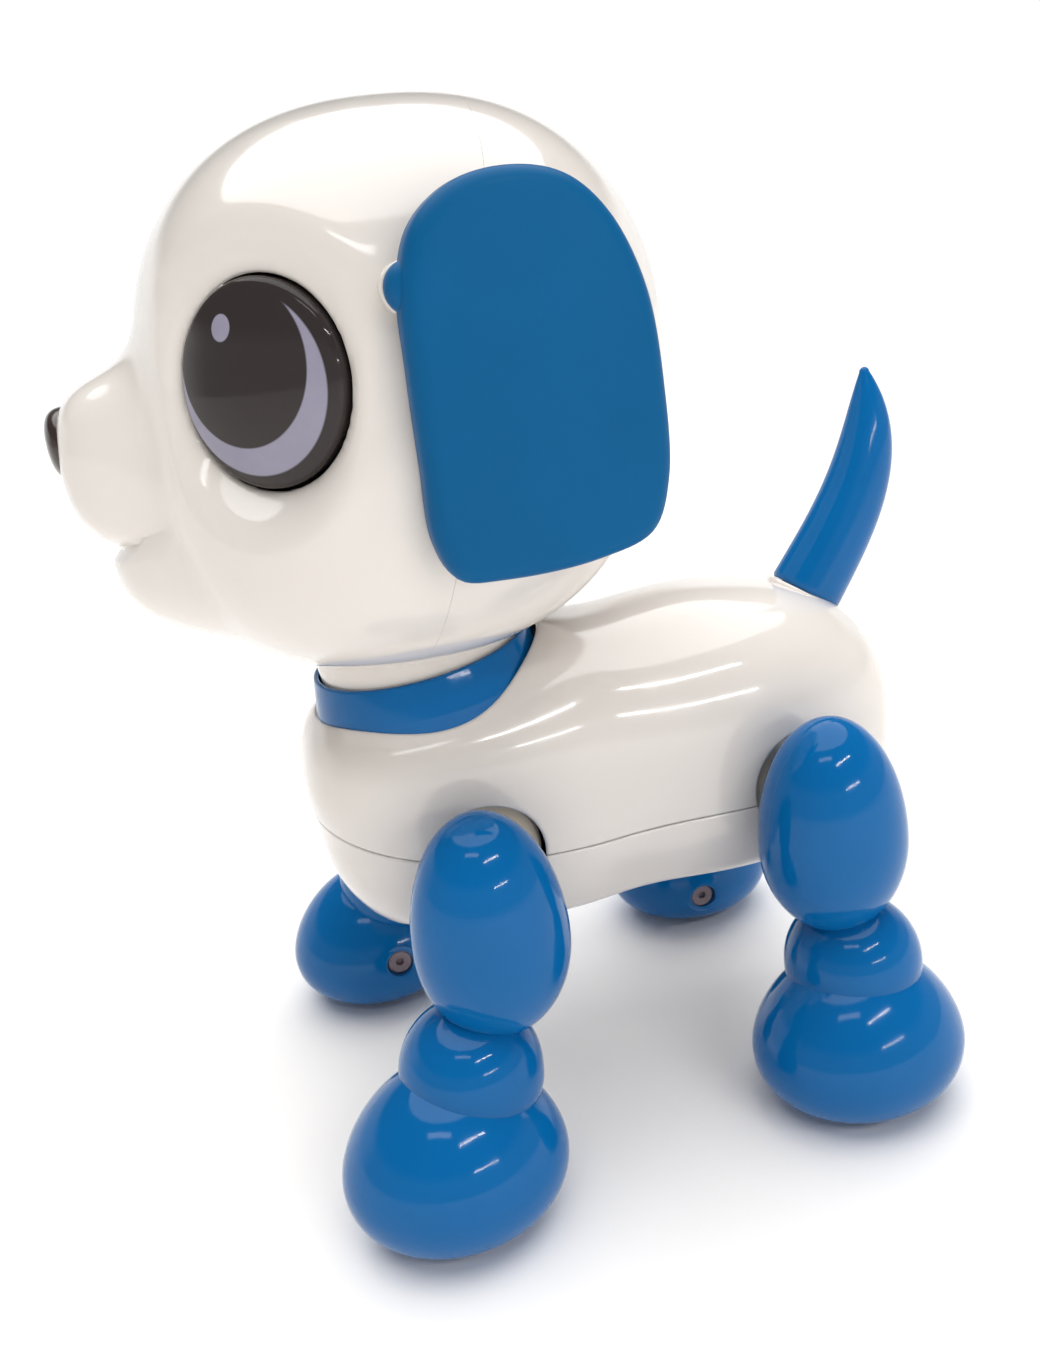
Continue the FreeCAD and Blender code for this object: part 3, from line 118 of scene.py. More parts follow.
def make_sky(backdrop, room):
    """A dim room with a backdrop low down all round, white beyond the toy and greyer before it."""
    world = bpy.data.worlds.new("studio")
    world.use_nodes = True
    tree = world.node_tree
    split = wire(tree, "SeparateXYZ", {"Vector": wire(tree, "TexCoord").outputs["Generated"]})
    low_down = ramp(tree, split.outputs["Z"], ((0.25, 1.0), (0.36, 0.0)))
    beyond = ramp(tree, math_node(tree, "MULTIPLY", split.outputs["X"], -1.0), ((0.2, 0.4), (0.45, 1.0)))
    share = math_node(tree, "MULTIPLY", low_down, beyond)
    light = wire(tree, "MixRGB", {"Fac": share, "Color1": (room, room, room, 1),
                                  "Color2": (backdrop, backdrop, backdrop, 1)})
    tree.links.new(light.outputs[0], tree.nodes["Background"].inputs["Color"])
    bpy.context.scene.world = world


def make_studio():
    make_sun(250, 80, 3.5, 80)
    soft_box("window", 66, 47, 1.3, 0.55, 0.10, 0.9)
    soft_box("strip_high", 108, 37, 1.2, 0.6, 0.018, 2.6)
    soft_box("strip_low", 110, 14, 1.2, 0.5, 0.014, 1.2)
    make_sky(1.03, 0.12)
    bpy.context.scene.view_settings.view_transform = "Standard"
    corners = [(FLOOR_HALF * x, FLOOR_HALF * y, 0) for x, y in ((-1, -1), (1, -1), (1, 1), (-1, 1))]
    floor = new_mesh("floor", np.array(corners) / MM, [(0, 1, 2, 3)])
    floor.data.materials.append(MATERIALS["floor"])


# ---------------------------------------------------------------- smooth shapes

SKIN_REACH = 120.0
SKIN_HALVINGS = 32


def bulge(points, centre, radii, power):
    """Roughly the distance to a rounded box."""
    offset = np.abs(points - np.array(centre)) / np.array(radii)
    return ((offset ** power).sum(-1) ** (1 / power) - 1) * min(radii)


def egg(points, centre, radii):
    """Nearly the distance to an ellipsoid."""
    radii = np.array(radii, float)
    offset = points - np.array(centre)
    near = np.linalg.norm(offset / radii, axis=-1)
    slope = np.linalg.norm(offset / radii ** 2, axis=-1) + 1e-9
    return near * (near - 1) / slope


def join(a, b, soft):
    """Both shapes together, with a fillet about as wide as soft."""
    share = np.clip(0.5 + 0.5 * (b - a) / soft, 0, 1)
    return b * (1 - share) + a * share - soft * share * (1 - share)


def within(a, b, soft):
    """What both shapes share, with a softened edge."""
    return -join(-a, -b, soft)


def folded(points):
    """The points with both sides laid over the left one."""
    return np.stack([np.abs(points[..., 0]), points[..., 1], points[..., 2]], -1)


def head_shape(points):
    points = folded(points)
    shape = bulge(points, (0, -17, 139), (44.3, 42.5, 41), 2.3)
    shape = join(shape, bulge(points, (0, -23.5, 116.5), (41, 36.5, 25.5), 2.2), 10)
    shape = join(shape, bulge(points, (0, -57, 131), (14, 17.2, 14.3), 2.8), 8)
    shape = join(shape, egg(points, (0, -53, 113.5), (19, 16.5, 12.5)), 5)
    shape = within(shape, above_socket(points), 3)
    side, ahead, up = np.moveaxis(points, -1, 0)
    smile = np.exp(-((up - 117.2 - 0.015 * side ** 2) / 1.3) ** 2 - (side / 14) ** 4)
    return shape + np.where(ahead < -50, 1.5 * smile, 0)


def body_shape(points):
    points = folded(points)
    shape = bulge(points, (0, -16.5, 63), (24.2, 29, 27), 2.5)
    shape = join(shape, bulge(points, (0, 14, 62.5), (22.6, 32, 26), 2.7), 14)
    shape = join(shape, bulge(points, (0, 39, 61), (24, 29.5, 28), 2.4), 12)
    shape = join(shape, bulge(points, (0, -20.6, 72), (22.5, 22.5, 10.2), 3), 5)
    return within(shape, 38.6 - points[..., 2], 5)


def sphere_grid(count, stretch):
    """Directions and quads of a cube blown up to a ball, spread for a shape of these proportions."""
    steps = np.tan(np.linspace(-1, 1, count + 1) * math.pi / 4)
    a, b = np.meshgrid(steps, steps, indexing="ij")
    one = np.ones_like(a)
    sides = ((one, a, b), (-one, b, a), (b, one, a), (a, -one, b), (a, b, one), (b, a, -one))
    points = np.concatenate([np.stack(side, -1).reshape(-1, 3) for side in sides])
    corner = np.arange((count + 1) ** 2).reshape(count + 1, count + 1)
    quads = np.stack([corner[:-1, :-1], corner[1:, :-1], corner[1:, 1:], corner[:-1, 1:]], -1)
    quads = quads.reshape(-1, 4)
    faces = np.concatenate([quads + side * corner.size for side in range(6)])
    _, first, same = np.unique(np.round(points, 6), axis=0, return_index=True, return_inverse=True)
    points = points[first] / np.linalg.norm(points[first], axis=1)[:, None] * np.array(stretch)
    return points / np.linalg.norm(points, axis=1)[:, None], same.reshape(-1)[faces]


def skin(shape, centre, count, stretch=(1, 1, 1)):
    """Points and quads of the shape's surface, seen from a point inside it."""
    directions, faces = sphere_grid(count, stretch)
    near = np.zeros(len(directions))
    far = np.full(len(directions), SKIN_REACH)
    for _ in range(SKIN_HALVINGS):
        middle = (near + far) / 2
        inside = shape(np.array(centre) + directions * middle[:, None]) < 0
        near = np.where(inside, middle, near)
        far = np.where(inside, far, middle)
    return np.array(centre) + directions * near[:, None], faces


def rings_mesh(rings, closed_ends=True):
    """Points and faces of a skin through rings of equal count; the ends are fans to their middles."""
    count = len(rings[0])
    points = np.concatenate(rings)
    faces = []
    for level in range(len(rings) - 1):
        for number in range(count):
            after = (number + 1) % count
            low = level * count
            faces.append((low + number, low + after, low + count + after, low + count + number))
    if closed_ends:
        points = np.concatenate([points, [rings[0].mean(0), rings[-1].mean(0)]])
        last = (len(rings) - 1) * count
        for number in range(count):
            after = (number + 1) % count
            faces.append((after, number, len(points) - 2))
            faces.append((last + number, last + after, len(points) - 1))
    return points, faces


def rounded(outline, radius, steps=4):
    """The corners of a profile, each cut round."""
    points = []
    for number, here in enumerate(outline):
        here = np.array(here, float)
        before = np.array(outline[number - 1], float) - here
        after = np.array(outline[(number + 1) % len(outline)], float) - here
        reach = min(radius, 0.45 * np.linalg.norm(before), 0.45 * np.linalg.norm(after))
        start = here + before / np.linalg.norm(before) * reach
        end = here + after / np.linalg.norm(after) * reach
        for step in range(steps + 1):
            t = step / steps
            points.append(start * (1 - t) ** 2 + here * 2 * t * (1 - t) + end * t ** 2)
    return points


def lathe(profile, origin, axis, count=96):
    """A closed ring profile of (radius, height) points turned about an axis."""
    axis = np.array(axis, float) / np.linalg.norm(axis)
    aside = np.cross(axis, (0, 1, 0) if abs(axis[1]) < 0.9 else (1, 0, 0))
    aside /= np.linalg.norm(aside)
    across = np.cross(axis, aside)
    angles = np.arange(count) * 2 * math.pi / count
    rings = []
    for radius, height in profile:
        spokes = np.outer(np.cos(angles), aside) + np.outer(np.sin(angles), across)
        rings.append(np.array(origin) + axis * height + spokes * radius)
    points, faces = rings_mesh(rings, False)
    last = (len(rings) - 1) * count
    faces += [(last + number, last + (number + 1) % count, (number + 1) % count, number)
              for number in range(count)]
    return points, faces


def merged(*parts):
    """Several meshes as one."""
    points = []
    faces = []
    for part_points, part_faces in parts:
        shift = sum(len(group) for group in points)
        faces += [tuple(int(corner) + shift for corner in face) for face in part_faces]
        points.append(np.array(part_points))
    return np.concatenate(points), faces


# ---------------------------------------------------------------- meshes

WELD = 0.004
SNAP = 0.02


def new_mesh(name, points, faces):
    mesh = bpy.data.meshes.new(name)
    faces = faces.tolist() if hasattr(faces, "tolist") else faces
    mesh.from_pydata((np.asarray(points, float) * MM).tolist(), [], faces)
    thing = bpy.data.objects.new(name, mesh)
    bpy.context.scene.collection.objects.link(thing)
    clean_up(mesh)
    return thing


def clean_up(mesh):
    """Weld doubles, face outwards and shade smooth."""
    bm = bmesh.new()
    bm.from_mesh(mesh)
    bmesh.ops.remove_doubles(bm, verts=bm.verts, dist=WELD * MM)
    bmesh.ops.recalc_face_normals(bm, faces=bm.faces)
    for face in bm.faces:
        face.smooth = True
    bm.to_mesh(mesh)
    bm.free()


def slice_faces(bm, field, level):
    """Cut the faces along field = level; returns the new points and each point's field value."""
    bm.verts.index_update()
    values = field(np.array([vert.co for vert in bm.verts]) / MM) - level
    values[np.abs(values) < SNAP] = 0
    worth = dict(zip(bm.verts, values.tolist()))
    on_line = [vert for vert in bm.verts if worth[vert] == 0]
    for edge in list(bm.edges):
        start, end = edge.verts
        if worth[start] * worth[end] < 0:
            share = worth[start] / (worth[start] - worth[end])
            _, vert = bmesh.utils.edge_split(edge, start, share)
            worth[vert] = 0.0
            on_line.append(vert)
    if on_line:
        bmesh.ops.connect_verts(bm, verts=on_line)
    return on_line, worth


def trim(bm, field, lip_depth):
    """Drop what lies where field is above 0, and turn the new rim in with a small round."""
    for inset in (1, 0.5):
        slice_faces(bm, field, -LIP_WIDTH * inset)
    rim, worth = slice_faces(bm, field, 0)
    gone = [face for face in bm.faces if sum(worth.get(vert, 0) for vert in face.verts) > 0]
    bmesh.ops.delete(bm, geom=gone, context="FACES")
    bm.normal_update()
    values = field(np.array([vert.co for vert in bm.verts]) / MM)
    moves = []
    for vert, value in zip(bm.verts, values.tolist()):
        share = 1 + value / LIP_WIDTH
        if share > 0.01:
            moves.append((vert, vert.normal * (lip_depth * MM * min(1, share) ** 2)))
    for vert, move in moves:
        vert.co -= move


def shell(name, surface, fields, thick, body, slot, replaced, extra=None, faint=()):
    """A moulded shell: the surface cut by fields, given a wall, with closed extra solids beside it."""
    thing = new_mesh(name, *surface)
    bm = bmesh.new()
    bm.from_mesh(thing.data)
    for field in fields:
        trim(bm, field, 0 if field in faint else LIP_DEPTH)
    loose = [vert for vert in bm.verts if not vert.link_faces]
    bmesh.ops.delete(bm, geom=loose, context="VERTS")
    bm.to_mesh(thing.data)
    bm.free()
    wall = thing.modifiers.new("wall", "SOLIDIFY")
    wall.thickness = thick * MM
    wall.offset = -1
    settle(thing)
    if extra is not None:
        points = [tuple(vert.co / MM) for vert in thing.data.vertices]
        faces = [tuple(face.vertices) for face in thing.data.polygons]
        whole = merged((points, faces), extra)
        thing.data.clear_geometry()
        thing.data.from_pydata((whole[0] * MM).tolist(), [], whole[1])
        for face in thing.data.polygons:
            face.use_smooth = True
    return finish_piece(thing, body, slot, replaced)


def settle(thing):
    """Apply the modifiers."""
    graph = bpy.context.evaluated_depsgraph_get()
    done = bpy.data.meshes.new_from_object(thing.evaluated_get(graph))
    thing.modifiers.clear()
    thing.data = done


def finish_piece(thing, body, slot, replaced, sharp=38):
    thing.data.set_sharp_from_angle(angle=math.radians(sharp))
    thing.data.materials.clear()
    thing.data.materials.append(MATERIALS[slot])
    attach(thing, body)
    if replaced:
        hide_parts(*replaced)
    return thing


def solid(name, shape, body, slot, replaced, sharp=38):
    return finish_piece(new_mesh(name, *shape), body, slot, replaced, sharp)


def flipped(surface):
    """The mirror image across the toy's middle plane."""
    points, faces = surface
    faces = faces.tolist() if isinstance(faces, np.ndarray) else faces
    return np.array(points) * (-1, 1, 1), [tuple(reversed(face)) for face in faces]


# ---------------------------------------------------------------- materials

def wire(tree, kind, inputs=None, **settings):
    """A shader node with its settings, and its inputs linked or set."""
    node = tree.nodes.new("ShaderNode" + kind)
    for name, value in settings.items():
        setattr(node, name, value)
    for name, value in (inputs or {}).items():
        if isinstance(value, bpy.types.NodeSocket):
            tree.links.new(value, node.inputs[name])
        else:
            node.inputs[name].default_value = value
    return node


def math_node(tree, operation, first, second=0.0):
    return wire(tree, "Math", {0: first, 1: second}, operation=operation).outputs[0]


def ramp(tree, value, stops):
    """A colour or grey ramp of (place, colour) stops."""
    node = wire(tree, "ValToRGB", {"Fac": value})
    marks = node.color_ramp.elements
    while len(marks) < len(stops):
        marks.new(0.5)
    for mark, (place, colour) in zip(marks, stops):
        mark.position = place
        mark.color = colour if isinstance(colour, tuple) else (colour, colour, colour, 1)
    return node.outputs["Color"]


def shade(colour, factor):
    return tuple(min(1, channel * factor) for channel in colour) + (1,)


def moulded(name, colour, roughness, grain=0.02, grain_scale=1400, coat=0.0, metal=0.0, wear=0.25,
            variation=0.04, smudge=0.05, specular=0.5):
    """A moulded or metal surface: faint colour drift, fine grain, smudged gloss and paler worn edges."""
    made = bpy.data.materials.new(name)
    made.use_nodes = True
    tree = made.node_tree
    shader = tree.nodes["Principled BSDF"]
    place = wire(tree, "TexCoord").outputs["Object"]
    drift = wire(tree, "TexNoise", {"Vector": place, "Scale": 45.0, "Detail": 4.0}).outputs["Fac"]
    fine = wire(tree, "TexNoise", {"Vector": place, "Scale": grain_scale, "Detail": 3.0}).outputs["Fac"]
    hazy = wire(tree, "TexNoise", {"Vector": place, "Scale": 130.0, "Detail": 6.0,
                                   "Distortion": 0.6}).outputs["Fac"]
    base = ramp(tree, drift, ((0.3, shade(colour, 1 - variation)), (0.7, shade(colour, 1 + variation))))
    edge = ramp(tree, wire(tree, "NewGeometry").outputs["Pointiness"], ((0.52, 0.0), (0.62, wear)))
    worn = wire(tree, "MixRGB", {"Fac": edge, "Color1": base,
                                 "Color2": tuple(0.5 * channel + 0.4 for channel in colour) + (1,)})
    tree.links.new(worn.outputs[0], shader.inputs["Base Color"])
    gloss = ramp(tree, hazy, ((0.35, max(0, roughness - smudge)), (0.7, min(1, roughness + smudge))))
    tree.links.new(gloss, shader.inputs["Roughness"])
    height = math_node(tree, "ADD", math_node(tree, "MULTIPLY", fine, 0.6),
                       math_node(tree, "MULTIPLY", hazy, 0.4))
    bump = wire(tree, "Bump", {"Height": height, "Strength": grain, "Distance": 0.0004})
    tree.links.new(bump.outputs["Normal"], shader.inputs["Normal"])
    shader.inputs["Metallic"].default_value = metal
    shader.inputs["Coat Weight"].default_value = coat
    shader.inputs["Coat Roughness"].default_value = 0.06
    shader.inputs["Specular IOR Level"].default_value = specular
    return made


def oval_mask(tree, across, up, centre, radii, blur=0.02):
    """1 inside an oval of the eye's face and 0 outside it."""
    x = math_node(tree, "DIVIDE", math_node(tree, "SUBTRACT", across, centre[0]), radii[0])
    y = math_node(tree, "DIVIDE", math_node(tree, "SUBTRACT", up, centre[1]), radii[1])
    far = math_node(tree, "SQRT", math_node(tree, "ADD", math_node(tree, "MULTIPLY", x, x),
                                            math_node(tree, "MULTIPLY", y, y)))
    return ramp(tree, far, ((1 - blur, 1.0), (1.0, 0.0)))


def eye_print(name):
    """A black eye under a clear dome, with a lilac crescent and a small lilac glint."""
    made = moulded(name, (0.034, 0.028, 0.027), 0.09, grain=0.01, coat=0.1, wear=0.0, specular=0.2)
    tree = made.node_tree
    shader = tree.nodes["Principled BSDF"]
    base = shader.inputs["Base Color"].links[0].from_socket
    place = wire(tree, "TexCoord").outputs["Object"]
    split = wire(tree, "SeparateXYZ", {"Vector": place})
    across = math_node(tree, "DIVIDE", split.outputs["X"], EYE_HALF_WIDTH * MM)
    up = math_node(tree, "DIVIDE", split.outputs["Y"], EYE_HALF_HEIGHT * MM)
    whole = oval_mask(tree, across, up, (-0.06, 0.0), (0.90, 0.86))
    pupil = oval_mask(tree, across, up, (-0.16, 0.17), (0.80, 0.77))
    glint = oval_mask(tree, across, up, (-0.37, 0.50), (0.125, 0.13), 0.08)
    crescent = math_node(tree, "MULTIPLY", whole, math_node(tree, "SUBTRACT", 1.0, pupil))
    lilac = ramp(tree, wire(tree, "TexNoise", {"Vector": place, "Scale": 250.0}).outputs["Fac"],
                 ((0.3, (0.28, 0.265, 0.345, 1)), (0.7, (0.305, 0.29, 0.37, 1))))
    shown = math_node(tree, "MAXIMUM", crescent, glint)
    mix = wire(tree, "MixRGB", {"Fac": shown, "Color1": base, "Color2": lilac})
    tree.links.new(mix.outputs[0], shader.inputs["Base Color"])
    return made


EYE_HALF_WIDTH = 13.9
EYE_HALF_HEIGHT = 14.7

WHITE = (0.76, 0.71, 0.66)
BLUE = (0.002, 0.122, 0.355)
SATIN_BLUE = (0.003, 0.10, 0.255)
MATERIALS = {
    "floor": moulded("floor", (0.97, 0.95, 0.93), 0.6, grain=0.02, grain_scale=300, wear=0,
                     variation=0.004),
    "white_plastic": moulded("white_plastic", WHITE, 0.13, coat=0.4, variation=0.012, wear=0.15),
    "blue_plastic": moulded("blue_plastic", BLUE, 0.09, wear=0.12, smudge=0.03, specular=0.22),
    "blue_satin": moulded("blue_satin", SATIN_BLUE, 0.42, grain=0.05, grain_scale=2600, wear=0.1,
                          specular=0.08),
    "nose_black": moulded("nose_black", (0.035, 0.022, 0.018), 0.2, coat=0.2, wear=0.1),
    "eye_print": eye_print("eye_print"),
    "beige_plastic": moulded("beige_plastic", (0.72, 0.60, 0.44), 0.5, grain=0.06),
    "black_plastic": moulded("black_plastic", (0.018, 0.018, 0.02), 0.42, grain=0.12),
    "grey_plastic": moulded("grey_plastic", (0.42, 0.42, 0.43), 0.45, grain=0.08),
    "white_nylon": moulded("white_nylon", (0.72, 0.71, 0.66), 0.4, grain=0.05),
    "rubber": moulded("rubber", (0.03, 0.07, 0.16), 0.75, grain=0.35, grain_scale=900, wear=0.1),
    "screw_grey": moulded("screw_grey", (0.17, 0.12, 0.14), 0.38, grain=0.08, coat=0.1),
    "steel": moulded("steel", (0.50, 0.48, 0.49), 0.32, grain=0.05, metal=1.0),
    "nickel": moulded("nickel", (0.66, 0.63, 0.56), 0.25, grain=0.04, metal=1.0),
    "brass": moulded("brass", (0.72, 0.52, 0.24), 0.3, grain=0.04, metal=1.0),
    "cell_wrap": moulded("cell_wrap", (0.03, 0.12, 0.06), 0.28, coat=0.4),
    "board_green": moulded("board_green", (0.02, 0.16, 0.06), 0.35, grain=0.1, coat=0.2),
    "paper_cone": moulded("paper_cone", (0.03, 0.03, 0.032), 0.8, grain=0.4, grain_scale=700),
    "lamp_clear": moulded("lamp_clear", (0.75, 0.78, 0.85), 0.12, coat=0.4),
}

# What the CAD pieces that stay in view are made of.
NODE_FINISH = {
    "hip_bushes": "beige_plastic",
    "body_screws": "steel", "gear_case_screws": "steel", "head_screws": "steel",
    "battery_cover_screw": "steel", "tail_clip": "steel", "ear_left_clip": "steel",
    "ear_right_clip": "steel", "gear_axles": "steel", "crank_shaft": "steel",
    "gear_case_left": "grey_plastic", "gear_case_right": "grey_plastic",
    "motor": "nickel", "motor_pinion": "brass", "battery_contacts": "nickel",
    "circuit_board": "board_green", "speaker": "paper_cone", "batteries": "cell_wrap",
    "switch_housing": "black_plastic", "power_switch_knob": "black_plastic",
    "eye_lights": "lamp_clear", "crank_gear": "white_nylon", "crank_discs": "white_nylon",
    "gear_second": "white_nylon", "gear_first": "white_nylon", "link_left": "white_nylon",
    "link_right": "white_nylon", "neck_tube": "white_plastic",
}
# A leg's parts that aren't blue.
LEG_FINISH = {"pad": "rubber", "screws": "steel", "lever": "white_nylon"}


def dress_cad_nodes():
    for name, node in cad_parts.items():
        finish = NODE_FINISH.get(name)
        if finish is None and name.startswith("leg_"):
            part = name.split("_", 3)[3]
            finish = LEG_FINISH.get(part, "blue_plastic")
        node.data.materials.clear()
        node.data.materials.append(MATERIALS[finish or "white_plastic"])


# ---------------------------------------------------------------- body

# The parting line is level behind this place and rises in front of it.
CHEST_START = 12.0
PARTING_LOW = 55.2
NECK = np.array((0, -20.6, 82.5))
NECK_LEAN = math.radians(7)
NECK_AXIS = np.array((0, -math.sin(NECK_LEAN), math.cos(NECK_LEAN)))
COLLAR_NEST_RADIUS = 21.45
TAIL = np.array((0, 55.7, 85.1))
TAIL_LEAN = math.radians(35.8)
TAIL_AXIS = np.array((0, math.sin(TAIL_LEAN), math.cos(TAIL_LEAN)))
HIP_Z = 57.5
HIPS = {"front": -19.5, "rear": 41}
HIP_OPENING_RADIUS = 10.2
SPEAKER = (0, -21.5)
GRILLE_RADIUS = 4.2
GRILLE_HOLE_RADIUS = 0.9
SWITCH = (0, -6)
SWITCH_HALF_SLOT = (3.4, 1.3)
SWITCH_CORNER = 0.9
BELLY_SCREWS = ((11.5, -32), (-11.5, -32))
SCREW_HOLE_RADIUS = 2.9
BELLY_TOP = 42


def along_and_off(points, origin, axis):
    """Each point's height along an axis and its distance from it."""
    offset = points - origin
    height = offset @ axis
    return height, np.linalg.norm(offset - height[..., None] * axis, axis=-1)


def parting_height(along):
    """The body's parting line: level at the back, rising in an arc at the chest."""
    forward = np.clip(CHEST_START - along, 0, None)
    return PARTING_LOW + forward ** 2 * 0.0013 + forward ** 4 * 4e-7


def above_parting(points):
    return points[..., 2] - parting_height(points[..., 1]) + PARTING_GAP


def below_parting(points):
    return parting_height(points[..., 1]) - points[..., 2] + PARTING_GAP


def collar_nest(points):
    height, off = along_and_off(points, NECK, NECK_AXIS)
    return np.minimum(COLLAR_NEST_RADIUS - off, height + 6)


def hip_opening(along):
    def field(points):
        off = np.hypot(points[..., 1] - along, points[..., 2] - HIP_Z)
        return np.minimum(HIP_OPENING_RADIUS - off, np.abs(points[..., 0]) - 8)
    return field


def round_hole(centre, radius, top):
    """A hole through the belly."""
    def field(points):
        off = np.hypot(points[..., 0] - centre[0], points[..., 1] - centre[1])
        return np.minimum(radius - off, top - points[..., 2])
    return field


COVER_FRONT = 1.9
COVER_REAR = 55.6
COVER_HALF = 16.2
COVER_TOP = 43.0
COVER_CORNER = 3.0
COVER_CLEARANCE = 0.25


def outside_rounded(x, y, corner):
    """How far outside a rounded rectangle, from how far past the middles of its corner rounds."""
    return np.hypot(np.maximum(x, 0), np.maximum(y, 0)) + np.minimum(np.maximum(x, y), 0) - corner


def outside_cover(grow):
    """Above 0 outside the battery cover's outline, which has rounded corners."""
    half = (COVER_REAR - COVER_FRONT) / 2
    middle = (COVER_REAR + COVER_FRONT) / 2

    def field(points):
        x = np.abs(points[..., 0]) - COVER_HALF - grow + COVER_CORNER
        y = np.abs(points[..., 1] - middle) - half - grow + COVER_CORNER
        return np.maximum(outside_rounded(x, y, COVER_CORNER), points[..., 2] - COVER_TOP - grow)
    return field


def inside_cover(points):
    return -outside_cover(COVER_CLEARANCE)(points)


def fine_belly(surface, spots, reach):
    """Quads near small belly holes are split again, so that the holes come out round."""
    thing = new_mesh("belly_work", *surface)
    bm = bmesh.new()
    bm.from_mesh(thing.data)
    for spread in (reach, reach * 0.8):
        edges = []
        for edge in bm.edges:
            middle = (edge.verts[0].co + edge.verts[1].co) / 2 / MM
            if middle.z < BELLY_TOP and any(math.hypot(middle.x - x, middle.y - y) < spread
                                            for x, y in spots):
                edges.append(edge)
        bmesh.ops.subdivide_edges(bm, edges=edges, cuts=1, use_grid_fill=True)
    bmesh.ops.triangulate(bm, faces=[face for face in bm.faces if len(face.verts) > 4])
    points = np.array([vert.co for vert in bm.verts]) / MM
    bm.verts.index_update()
    faces = [tuple(vert.index for vert in face.verts) for face in bm.faces]
    bm.free()
    bpy.data.objects.remove(thing)
    return points, faces


def switch_slot(points):
    x = np.abs(points[..., 0]) - SWITCH_HALF_SLOT[0]
    y = np.abs(points[..., 1] - SWITCH[1]) - SWITCH_HALF_SLOT[1]
    return np.minimum(-outside_rounded(x, y, SWITCH_CORNER), BELLY_TOP - 1 - points[..., 2])


def speaker_grille():
    """A middle hole and a ring of six."""
    turns = [math.radians(60 * number) for number in range(6)]
    ring = [(GRILLE_RADIUS * math.cos(turn), SPEAKER[1] + GRILLE_RADIUS * math.sin(turn))
            for turn in turns]
    return [SPEAKER] + ring


def make_body():
    surface = skin(body_shape, (0, 9.5, 62), 88, (1, 2.1, 1.05))
    hips = [hip_opening(along) for along in HIPS.values()]
    pedestal = lathe(rounded(((2.6, -6), (7.8, -6), (7.8, -0.15), (2.6, -0.15)), 0.6), TAIL, TAIL_AXIS)
    shell("body_upper", surface, [below_parting, collar_nest] + hips, WALL, "torso", "white_plastic",
          ["body_upper_shell"], pedestal)
    belly = fine_belly(surface, [SPEAKER, SWITCH], 7)
    holes = [round_hole(spot, GRILLE_HOLE_RADIUS, BELLY_TOP) for spot in speaker_grille()]
    holes += [round_hole(spot, SCREW_HOLE_RADIUS, BELLY_TOP + 2) for spot in BELLY_SCREWS]
    shell("body_lower", belly, [above_parting, inside_cover, switch_slot] + hips + holes, WALL, "torso",
          "white_plastic", ["body_lower_shell"])
    cover_screw = round_hole((0, COVER_REAR - 3.4), SCREW_HOLE_RADIUS, BELLY_TOP + 2)
    shell("battery_door", surface, [outside_cover(0), cover_screw], WALL, "battery_door",
          "white_plastic", ["battery_cover"])


def make_collar_and_neck():
    band = rounded(((18.95, -2.8), (21.35, -2.8), (21.3, 1.2), (19.85, 7.8), (18.95, 7.8)), 0.7)
    solid("collar_band", lathe(band, NECK, NECK_AXIS, 144), "torso", "blue_plastic", ["collar"])
    tube = rounded(((16.8, -4), (20.3, -4), (20.3, -2.5), (18.6, -2.5), (18.6, 16), (16.8, 16)), 0.3, 2)
    solid("neck", lathe(tube, NECK, NECK_AXIS, 144), "head", "white_plastic", ["neck_tube"])


# ---------------------------------------------------------------- tail

TAIL_CURVE = ((0, 0), (6, 8.4), (11, 16.9), (14, 24.9), (15, 32.9), (14.7, 40.3))
TAIL_RADII = (7.4, 7.0, 6.5, 5.6, 3.9, 1.0)
TAIL_FLATNESS = 0.85
# The last rings round the tip off, at these angles towards the tail's heading.
TAIL_TIP_TURNS = (30, 60, 80)


def make_tail():
    """A curved taper with a flat base and a rounded tip."""
    along, up = np.array(TAIL_CURVE, float).T
    path = np.polyfit(up, along, 4)
    slope = np.polyder(path)
    width = np.polyfit(up, TAIL_RADII, 4)
    top = up[-1]
    angles = np.arange(48) * 2 * math.pi / 48
    rings = []
    heights = [0.02, 0.15, 0.5] + list(np.linspace(1.2, top, 44))
    for height in heights:
        lean = math.atan(np.polyval(slope, height)) if height > 1 else TAIL_LEAN
        radius = np.polyval(width, height)
        if height < 0.6:
            radius -= 0.5 * (1 - height / 0.6) ** 2
        across = np.array((1, 0, 0))
        front = np.array((0, math.cos(lean), -math.sin(lean)))
        middle = TAIL + (0, np.polyval(path, height), height)
        rings.append(middle + radius * (TAIL_FLATNESS * np.outer(np.cos(angles), across)
                                        + np.outer(np.sin(angles), front)))
    tip = np.polyval(width, top)
    lean = math.atan(np.polyval(slope, top))
    heading = np.array((0, math.sin(lean), math.cos(lean)))
    middle = TAIL + (0, np.polyval(path, top), top)
    last = rings[-1] - middle
    for turn in np.radians(TAIL_TIP_TURNS):
        rings.append(middle + last * math.cos(turn) + heading * tip * math.sin(turn))
    peg = lathe(((0.01, -9), (2.5, -9), (2.5, 1), (0.01, 1)), TAIL, TAIL_AXIS, 32)
    solid("tail_horn", merged(rings_mesh(rings), peg), "tail_horn", "blue_plastic", ["tail"])


# ---------------------------------------------------------------- head

# The lens sits deep enough in its socket for the ledge below it to show.
EYE = np.array((31.5, -42.4, 141.3))
EYE_YAW = math.radians(40)
EYE_PITCH = math.radians(3)
EYE_LEAN = math.radians(10)
SPLIT_TILT = math.radians(14)
NOSE = (0, -71.2, 134.9)
NOSE_RADII = (7, 4.1, 5.8)
